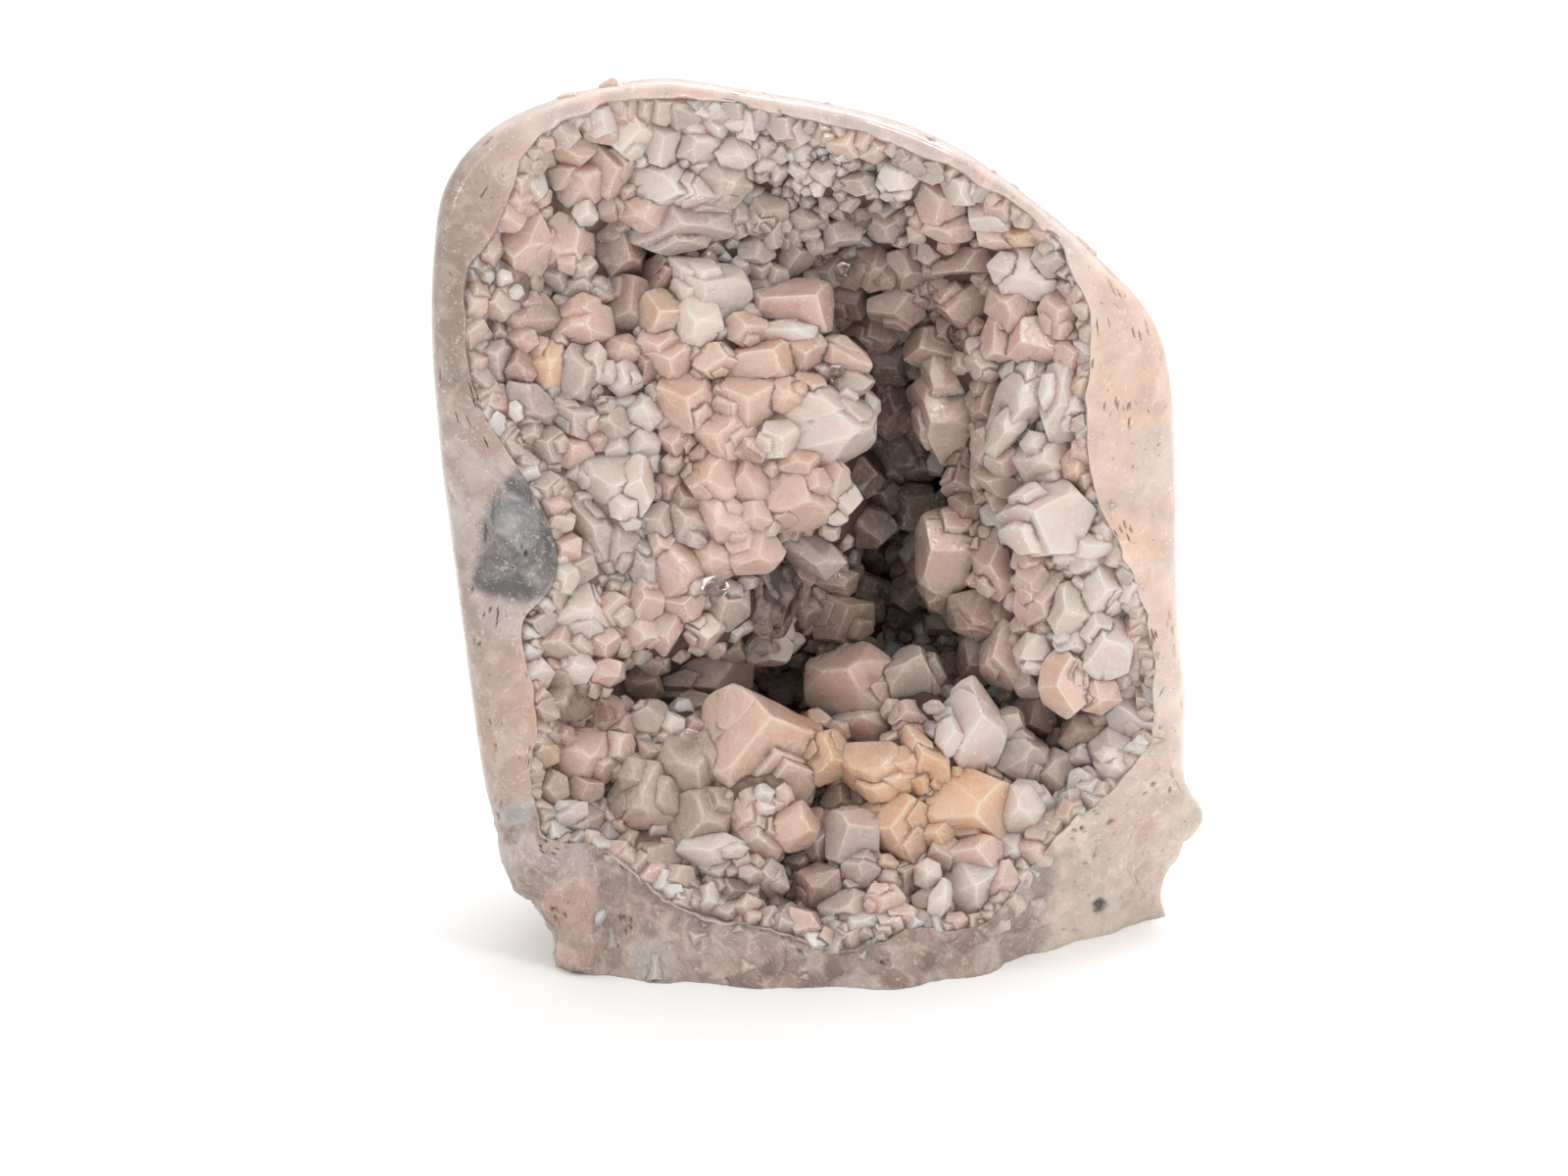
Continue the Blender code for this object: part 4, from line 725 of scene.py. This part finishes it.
def crust_floor(floor, finish):
    """The floor of the crust, a rough skin behind the crystals, closed against the rind. Its dark brown is
    partly iron brown and partly painted shade of the crevices, paler where it lies near the front.
    """
    around = 260
    angles = np.arange(around) * math.tau / around
    reach = radii(HOLLOW_EDGE, angles) - 0.3
    rings = []
    for share in np.linspace(0.01, 1.0, 76):
        across, up = on_ring(reach * share, angles)
        depth = np.minimum(floor.depth(across, up) + 0.4, bowl_depth(across, up, share) - 2.4 * (1.2 - share))
        rings.append(place(across, up, depth))
    for share in np.linspace(1.0, 0.05, 8):
        across, up = on_ring(reach * share, angles)
        rings.append(place(across, up, bowl_depth(across, up, share) - 0.4))
    middle = floor.depth(*CENTRE) + 0.4
    points = np.concatenate([*rings, [place(*CENTRE, middle)], [place(*CENTRE, BOWL_DEPTH - 0.4)]])
    rough = fractal(points, 2.2, 4, seed=3) - 0.5
    front = np.zeros(len(points), bool)
    front[:76 * around] = True
    points[front, 1] += 1.3 * rough[front]
    # Painted shade with iron brown: dark brown in the crevices, turning to the brownish quartz look within a
    # few millimetres of the front
    colour = seen(SHADE_AND_IRON_BROWN) * (1 + 1.2 * (fractal(points, 3.0, 3, seed=8) - 0.5))[:, None]
    shallow = step_up(7.0, 1.0, points[:, 1] - front_depth(*as_seen(points)))
    colour = blended(colour, seen(LOOKS["b"]), 0.9 * shallow)
    count = len(rings) * around
    piece = to_object("crust_floor", points, rings_to_faces(len(rings), around, count, count + 1), colour)
    finish_piece(piece, finish, "crystal_crust")


def rind_rings():
    """The stone's skin as rings of points round CENTRE, from the bottom of the bowl out over the rim and
    round to the back, and for each ring how polished it is."""
    even = np.linspace(0, math.tau, 2000, endpoint=False)
    crowding = 1.0 + 0.9 * np.clip(-np.sin(even), 0, 1)
    angles = np.interp(np.arange(RIND_AROUND) / RIND_AROUND, np.cumsum(crowding) / crowding.sum(), even)
    inner, outer = radii(HOLLOW_EDGE, angles), radii(OUTLINE, angles)
    round_about = np.stack([inner * np.cos(angles), inner * np.sin(angles), np.zeros(RIND_AROUND)], -1)
    inner = inner + 2.2 * (fractal(round_about, 5.0, 3, seed=41) - 0.5)

    def front(reach, depth_at):
        across, up = on_ring(reach, angles)
        return place(across, up, depth_at(across, up))

    rings, zones = [], []
    for share in np.linspace(0.02, 0.98, 14):
        rings.append(front(inner * share, lambda s, t: bowl_depth(s, t, share)))
        zones.append(-1.0)
    for share in np.linspace(0, 1, 44):
        roll = RIM_ROUNDING * (1 - math.sqrt(1 - share ** 4))
        rings.append(front(inner + (outer - inner) * share, lambda s, t: front_depth(s, t) + roll))
        zones.append(share)
    edge = rings[-1]
    for share in np.linspace(0, 1, 112)[1:-1]:
        share = share ** 1.15
        narrowing = BACK_TAPER * share + (1 - BACK_TAPER) * share ** 2.8
        depth = edge[:, 1] + (BACK_DEPTH - edge[:, 1]) * math.sin(share * math.pi / 2) ** 0.9
        ring = np.stack([CENTRE[0] + (edge[:, 0] - CENTRE[0]) * (1 - narrowing), depth,
                         CENTRE[1] + (edge[:, 2] - CENTRE[1]) * (1 - narrowing)], -1)
        rings.append(lumpy(ring, share))
        zones.append(1.0 + share)
    return np.array(rings), np.array(zones)


def lumpy(ring, share):
    """Moves the back in or out, less near the rim, so that the natural skin has low lumps."""
    outward = ring - np.stack([np.full(len(ring), CENTRE[0]), ring[:, 1], np.full(len(ring), CENTRE[1])], -1)
    outward /= np.linalg.norm(outward, axis=1, keepdims=True)
    height = np.array([noise.noise(Vector(p) / LUMP_SIZE) for p in ring])
    return ring + outward * (LUMP_HEIGHT * min(1.0, 2.5 * share) * height)[:, None]


def normals_of(rings):
    """Outward directions over rings of points."""
    along = np.gradient(rings, axis=0)
    round_about = np.roll(rings, -1, 1) - np.roll(rings, 1, 1)
    across = np.cross(along, round_about)
    return across / np.maximum(np.linalg.norm(across, axis=-1, keepdims=True), 1e-9)


def inside_patch(across, up, corners, softness):
    """1 inside a closed outline of corners, 0 outside, and smooth between."""
    middle = np.array(corners, float).mean(0)
    reach = radii(corners, np.arctan2(up - middle[1], across - middle[0]), middle)
    return step_up(softness, -softness, np.hypot(across - middle[0], up - middle[1]) - reach)


def oval(across, up, spot):
    """How far inside an oval spot (across, up, half width, half height, turn) each place is: 1 in its
    middle, 0 on its edge, and below 0 outside."""
    turn = math.radians(spot[4])
    s, t = across - spot[0], up - spot[1]
    along = s * math.cos(turn) + t * math.sin(turn)
    beside = t * math.cos(turn) - s * math.sin(turn)
    return 1 - np.hypot(along / spot[2], beside / spot[3])


def rind(finish):
    """The stone: polished over the rim, natural on the back, broken below, sawn flat underneath."""
    rings, zones = rind_rings()
    zone = np.repeat(zones[:, None], rings.shape[1], 1)
    across, up = as_seen(rings)
    front = step_up(1.12, 1.02, zone)
    colour, natural, height = rind_surface(rings, zone, front, across, up)
    rings = rings + normals_of(rings) * np.where(zone < 0, 0, height)[..., None]

    deepest, furthest = place(*CENTRE, BOWL_DEPTH), (CENTRE[0], BACK_DEPTH, CENTRE[1])
    points = np.concatenate([rings.reshape(-1, 3), [deepest], [furthest]])
    tints = np.concatenate([colour.reshape(-1, 3), colour[0, :1], colour[-1, :1]])
    polish = 1 - np.concatenate([natural.ravel(), [1.0, 1.0]])
    count = rings.shape[0] * rings.shape[1]
    faces = rings_to_faces(rings.shape[0], rings.shape[1], count, count + 1)
    piece = to_object("rind_stone", points, faces, tints, polish)
    saw_flat(piece.data)
    finish_piece(piece, finish, "rind", slot="stone")


def saw_flat(data):
    """Cuts the stone off at z = 0 and closes the cut with one flat face."""
    mesh = bmesh.new()
    mesh.from_mesh(data)
    bmesh.ops.recalc_face_normals(mesh, faces=mesh.faces)
    cut = bmesh.ops.bisect_plane(mesh, geom=[*mesh.verts, *mesh.edges, *mesh.faces], dist=1e-7,
                                 plane_co=(0, 0, 0), plane_no=(0, 0, 1), clear_inner=True)
    edge = [e for e in cut["geom_cut"] if isinstance(e, bmesh.types.BMEdge)]
    bmesh.ops.contextual_create(mesh, geom=edge)
    bmesh.ops.recalc_face_normals(mesh, faces=mesh.faces)
    mesh.to_mesh(data)
    mesh.free()


def rind_surface(rings, zone, front, across, up):
    """The stone's colour, how natural (not polished) its skin is, and its relief in millimetres."""
    broad, fine = fractal(rings, 14.0, 4, seed=21), fractal(rings, 2.4, 4, seed=22)
    cell_edge, cell_own = cells(rings, 4.2, seed=4)
    small_edge, small_own = cells(rings, 1.7, seed=9)
    right = step_up(8, 40, across) * step_up(20, 45, up)
    lower = step_up(27, 19, up + 5 * (broad - 0.5)) * front
    matrix = step_up(29, 33, across + 6 * (fine - 0.5)) * step_up(30, 22, up) * front
    knob = step_up(43, 47, across) * step_up(30, 25, up) * step_up(12, 18, up)

    colour = np.broadcast_to(seen(PINK_POLISH), rings.shape)

    def wash(tone, share):
        nonlocal colour
        colour = blended(colour, seen(tone), share)

    # Painted shade over the left of the rim; painted light over its right side and a painted highlight along
    # its top
    wash(LEFT_RIM_PAINTED_SHADE, step_up(-34, -48, across))
    wash(RIM_PAINTED_LIGHT, 0.8 * right + 0.4 * step_up(108, 117, up) * front)
    wash(SANDY_PEACH, step_up(33, 38, across) * step_up(34, 56, up) * (0.5 + 0.5 * broad))
    wash(AGATE_PALE, 0.5 * step_up(0.52, 0.62, broad) * front)
    wash(BACK_SKIN, 1 - front)
    wash(CELL_BROWN, lower * (0.35 + 0.55 * cell_own))
    wash(CELL_LINE, 0.75 * lower * step_up(0.10, 0.03, cell_edge))
    wash(MATRIX_CREAM, 0.9 * matrix * step_up(0.25, 0.45, fine + 0.2))
    wash(AGATE_GREY, 0.95 * inside_patch(across, up, AGATE_WINDOW, 0.8) * front)
    grey_zone = step_up(-27, -31, across) * step_up(13, 16, up) * step_up(27, 22, up) * front
    wash(AGATE_PALE, 0.5 * grey_zone * step_up(0.4, 0.6, fine))
    block = inside_patch(across, up, BROKEN_BLOCK, 0.5) * front
    wash(BLOCK_PINK, 0.8 * block)
    for *spot, strength, tone in SPOTS:
        ragged = oval(across, up, spot) + 0.25 * (fine - 0.5)
        wash(tone, strength * front * step_up(-0.06, 0.10, ragged))
    colour = colour * (1 + 0.45 * (fine - 0.5) + 0.35 * (broad - 0.5))[..., None]
    flecks = step_up(0.30, 0.22, small_edge + small_own * 0.2) * (small_own > 0.955)
    wash(SHADE_AND_IRON_BROWN, 0.6 * flecks)
    colour = stained(rings, colour)

    natural = np.clip((1 - front) + 0.65 * lower + 0.6 * matrix + knob, 0, 1)
    height = 0.12 * (fractal(rings, 7.0, 2, seed=30) - 0.5)
    height += (1 - front) * (1.3 * (fine - 0.5) + 0.5 * (step_up(0, 0.5, cell_edge) - 0.6))
    height += lower * (0.9 * (cell_own - 0.5) * step_up(0, 0.3, cell_edge) + 0.7 * (fine - 0.5))
    height -= 0.7 * lower * step_up(14, 6, across) * step_up(-31, -28, across)
    height += matrix * 0.5 * (fine - 0.5) + 0.9 * block
    height -= 0.5 * flecks * front
    return colour, natural, np.where(zone < 0, 0, height)


def add_node(tree, kind, inputs=None, **settings):
    """A node with its settings, and its inputs either set or linked."""
    made = tree.nodes.new(kind)
    for setting, value in settings.items():
        setattr(made, setting, value)
    for socket, value in (inputs or {}).items():
        if isinstance(value, bpy.types.NodeSocket):
            tree.links.new(value, made.inputs[socket])
        else:
            made.inputs[socket].default_value = value
    return made


class Finish:
    """A material under construction, with its object coordinates in metres."""

    def __init__(self, name, **values):
        self.material = bpy.data.materials.new(name)
        self.material.use_nodes = True
        self.tree = self.material.node_tree
        self.shader = self.tree.nodes["Principled BSDF"]
        self.place = add_node(self.tree, "ShaderNodeTexCoord").outputs["Object"]
        for socket, value in values.items():
            self.shader.inputs[socket.replace("_", " ")].default_value = value

    def noise(self, size, detail=3.0, distortion=0.0):
        """Noise from 0 to 1 with features of the given size in millimetres."""
        return add_node(self.tree, "ShaderNodeTexNoise",
                        {"Vector": self.place, "Scale": 1 / (size * MM), "Detail": detail,
                         "Distortion": distortion, "Roughness": 0.55}).outputs["Fac"]

    def remap(self, value, low, high, to_low=0.0, to_high=1.0):
        return add_node(self.tree, "ShaderNodeMapRange",
                        {"Value": value, "From Min": low, "From Max": high, "To Min": to_low,
                         "To Max": to_high}).outputs["Result"]

    def math(self, operation, *values):
        return add_node(self.tree, "ShaderNodeMath", dict(enumerate(values)), operation=operation).outputs[0]

    def mix(self, share, colour, other):
        made = add_node(self.tree, "ShaderNodeMix", data_type='RGBA')
        sockets = [s for s in made.inputs if s.enabled]
        for socket, value in zip(sockets, (share, colour, other)):
            if isinstance(value, bpy.types.NodeSocket):
                self.tree.links.new(value, socket)
            else:
                socket.default_value = value
        return next(s for s in made.outputs if s.enabled)

    def veil(self, colour, share, tone):
        """The colour turned by a share towards a tone, which is given as the eye sees it."""
        return self.mix(share, colour, (*seen(tone), 1.0))

    def attribute(self, name, output="Color"):
        return add_node(self.tree, "ShaderNodeAttribute", attribute_name=name).outputs[output]

    def bump(self, height, millimetres, under=None):
        inputs = {"Height": height, "Distance": millimetres * MM, "Strength": 1.0}
        if under is not None:
            inputs["Normal"] = under
        return add_node(self.tree, "ShaderNodeBump", inputs).outputs["Normal"]

    def link(self, socket, value):
        self.tree.links.new(value, self.shader.inputs[socket])


def quartz_material():
    """Milky pink quartz: translucent, glassy where it is clean, with veils, frosted patches and specks."""
    made = Finish("milky quartz", IOR=1.54, Subsurface_Weight=0.85, Subsurface_Radius=(1.0, 0.72, 0.6),
                  Subsurface_Scale=0.0035, Transmission_Weight=0.25)
    clouds, veils = made.noise(5.0, 4, 0.6), made.noise(1.1, 5, 1.5)
    colour = made.veil(made.attribute("tint"), made.remap(clouds, 0.35, 0.75, 0.0, 0.25), (0.94, 0.87, 0.83))
    colour = made.veil(colour, made.remap(veils, 0.5, 0.75, 0.0, 0.35), (0.97, 0.93, 0.90))
    specks = made.remap(made.noise(0.55, 2), 0.70, 0.74)
    specks = made.math('MULTIPLY', specks, made.remap(made.noise(6.0, 2), 0.5, 0.62))
    made.link("Base Color", made.veil(colour, made.math('MULTIPLY', specks, 0.7), (0.36, 0.22, 0.15)))
    made.link("Roughness", made.remap(made.noise(2.6, 4, 0.4), 0.35, 0.7, 0.10, 0.34))
    grain = made.bump(made.noise(0.35, 3), 0.03)
    made.link("Normal", made.bump(made.noise(1.3, 3, 0.8), 0.16, under=grain))
    return made.material


def crevice_material():
    """The crust behind the crystals: rough drusy quartz and iron stain over a dark-brown tint that is partly
    painted shade of the crevices.
    """
    made = Finish("crevice shade and iron brown", Roughness=0.75, IOR=1.5)
    stain = made.remap(made.noise(1.6, 4, 0.5), 0.4, 0.7, 0.0, 0.6)
    made.link("Base Color", made.veil(made.attribute("tint"), stain, (0.20, 0.13, 0.10)))
    made.link("Normal", made.bump(made.noise(0.5, 4), 0.25))
    return made.material


def stone_material():
    """The stone: agate and milky quartz, glossy where it is polished and matt where it is natural."""
    made = Finish("agate and quartz stone", IOR=1.54, Subsurface_Weight=0.6,
                  Subsurface_Radius=(1.0, 0.62, 0.5), Subsurface_Scale=0.0022)
    polish = made.attribute("polish", "Fac")
    clouds, veils = made.noise(4.2, 5, 1.2), made.noise(1.0, 5, 2.0)
    colour = made.veil(made.attribute("tint"), made.remap(clouds, 0.42, 0.7, 0.0, 0.35), (0.88, 0.82, 0.78))
    colour = made.veil(colour, made.remap(veils, 0.57, 0.68, 0.0, 0.35), (0.95, 0.91, 0.88))
    specks = made.math('MULTIPLY', made.remap(made.noise(0.7, 2), 0.67, 0.71), made.remap(clouds, 0.62, 0.45))
    made.link("Base Color", made.veil(colour, made.math('MULTIPLY', specks, 0.55), (0.38, 0.28, 0.22)))
    matt = made.remap(made.noise(0.9, 3), 0.3, 0.7, 0.5, 0.75)
    glossy = made.remap(made.noise(3.0, 4), 0.35, 0.7, 0.10, 0.26)
    natural = made.math('SUBTRACT', 1.0, polish)
    made.link("Roughness", made.math('ADD', made.math('MULTIPLY', glossy, polish),
                                     made.math('MULTIPLY', matt, natural)))
    pitted = made.math('MULTIPLY', made.noise(0.8, 4), natural)
    scratches = made.bump(made.noise(1.8, 3), 0.03)
    made.link("Normal", made.bump(pitted, 0.35, under=scratches))
    return made.material


def clear_material():
    """Water-clear quartz."""
    made = Finish("clear quartz", IOR=1.54, Transmission_Weight=1.0,
                  Base_Color=(*seen((0.97, 0.95, 0.93)), 1.0))
    made.link("Roughness", made.remap(made.noise(0.8, 3), 0.4, 0.75, 0.02, 0.14))
    made.link("Normal", made.bump(made.noise(0.9, 3), 0.04))
    return made.material


# The small glass-clear crystals, as in CRYSTALS
CLEAR = """
    -6 52 3.9 4.7 6.6 w 0 0.6 -0.4; -13 53.8 1.5 1.3 2 w 0 0 -0.2; -6.3 45.5 1.6 1.2 11.5 w 0 0.2 -0.2;
    18.2 86.9 1.7 0.8 11.5 w -60 0 0; 15.7 37.1 1.3 0.7 5.2 w; -10.6 10.8 2.6 2.3 0.4 w 0 0.2 0;
    4.1 7.5 1.2 1 0.3 w; -31.3 37.3 1.6 1.8 0.8 w; -27.6 36.4 1 1 3 w; -16.6 33.2 1.2 1 3.4 w;
    10.5 77.5 1 0.8 22 w; -43.1 96.2 0.9 0.9 0.2 w; 5.9 102.8 1.2 1 8.5 w; 3.5 96 0.9 0.9 12.5 w;
    1.2 97.9 0.8 0.8 12.5 w; 2.7 82.5 0.9 0.8 4 w; -8.5 71.7 1.5 0.6 0 w -35 0 0"""


def clear_pieces(floor, finish):
    """The small clear crystals, as one piece."""
    members = []
    for row in crystal_rows(CLEAR):
        points, net, colour, _ = crystal(row, floor, RANDOM)
        members.append(to_object("clear", points, net, colour))
    finish_piece(grow_together("clear_crystals", members), finish)


def light(name, place_mm, towards_mm, size_mm, power):
    """A soft light with straight sides, in millimetres of the scene."""
    data = bpy.data.lights.new(name, 'AREA')
    data.shape = 'RECTANGLE'
    data.size, data.size_y = (side * MM for side in size_mm)
    data.energy = power
    lamp = bpy.data.objects.new(name, data)
    lamp.location = Vector(place_mm) * MM
    lamp.rotation_euler = (Vector(towards_mm) - Vector(place_mm)).to_track_quat('-Z', 'Y').to_euler()
    bpy.context.scene.collection.objects.link(lamp)


def studio():
    """A pale floor, soft lights, and the camera at the photograph's viewing angle."""
    data = bpy.data.meshes.new("floor")
    mesh = bmesh.new()
    bmesh.ops.create_grid(mesh, x_segments=1, y_segments=1, size=12.0)
    mesh.to_mesh(data)
    mesh.free()
    ground = bpy.data.objects.new("floor", data)
    bpy.context.scene.collection.objects.link(ground)
    made = Finish("pale floor", Roughness=0.6)
    made.link("Base Color", made.mix(made.remap(made.noise(40.0, 2), 0.3, 0.7), (0.93, 0.93, 0.93, 1),
                                     (0.94, 0.94, 0.94, 1)))
    data.materials.append(made.material)

    world = bpy.data.worlds.new("studio")
    world.use_nodes = True
    sky = world.node_tree
    upward = add_node(sky, "ShaderNodeSeparateXYZ",
                      {"Vector": add_node(sky, "ShaderNodeTexCoord").outputs["Generated"]}).outputs["Z"]
    brightness = add_node(sky, "ShaderNodeMapRange", {"Value": upward, "From Min": 0.0, "From Max": 0.9,
                                                      "To Min": 0.55, "To Max": 1.3}).outputs["Result"]
    sky.links.new(brightness, sky.nodes["Background"].inputs["Strength"])
    sky.nodes["Background"].inputs["Color"].default_value = (1, 1, 1, 1)
    bpy.context.scene.world = world
    light("key", (300, -420, 620), (0, 0, 50), (150, 150), 1.2)
    light("left fill", (-600, -300, 300), (0, 0, 60), (120, 240), 0.3)
    light("overhead", (120, 180, 560), (0, 0, 90), (420, 160), 2.0)

    camera_data = bpy.data.cameras.new("camera")
    camera_data.lens, camera_data.sensor_width = 85.0, 36.0
    camera_data.clip_start, camera_data.clip_end = 0.01, 100.0
    camera = bpy.data.objects.new("camera", camera_data)
    eye = Vector(VIEWPOINT - MIDDLE)
    camera.location = eye * MM
    camera.rotation_euler = (math.radians(90 - CAMERA_TILT), 0, 0)
    bpy.context.scene.collection.objects.link(camera)
    bpy.context.scene.camera = camera
    bpy.context.scene.view_settings.view_transform = 'Standard'


floor_surface = crystal_pieces(quartz_material())
crust_floor(floor_surface, crevice_material())
rind(stone_material())
clear_pieces(floor_surface, clear_material())
studio()
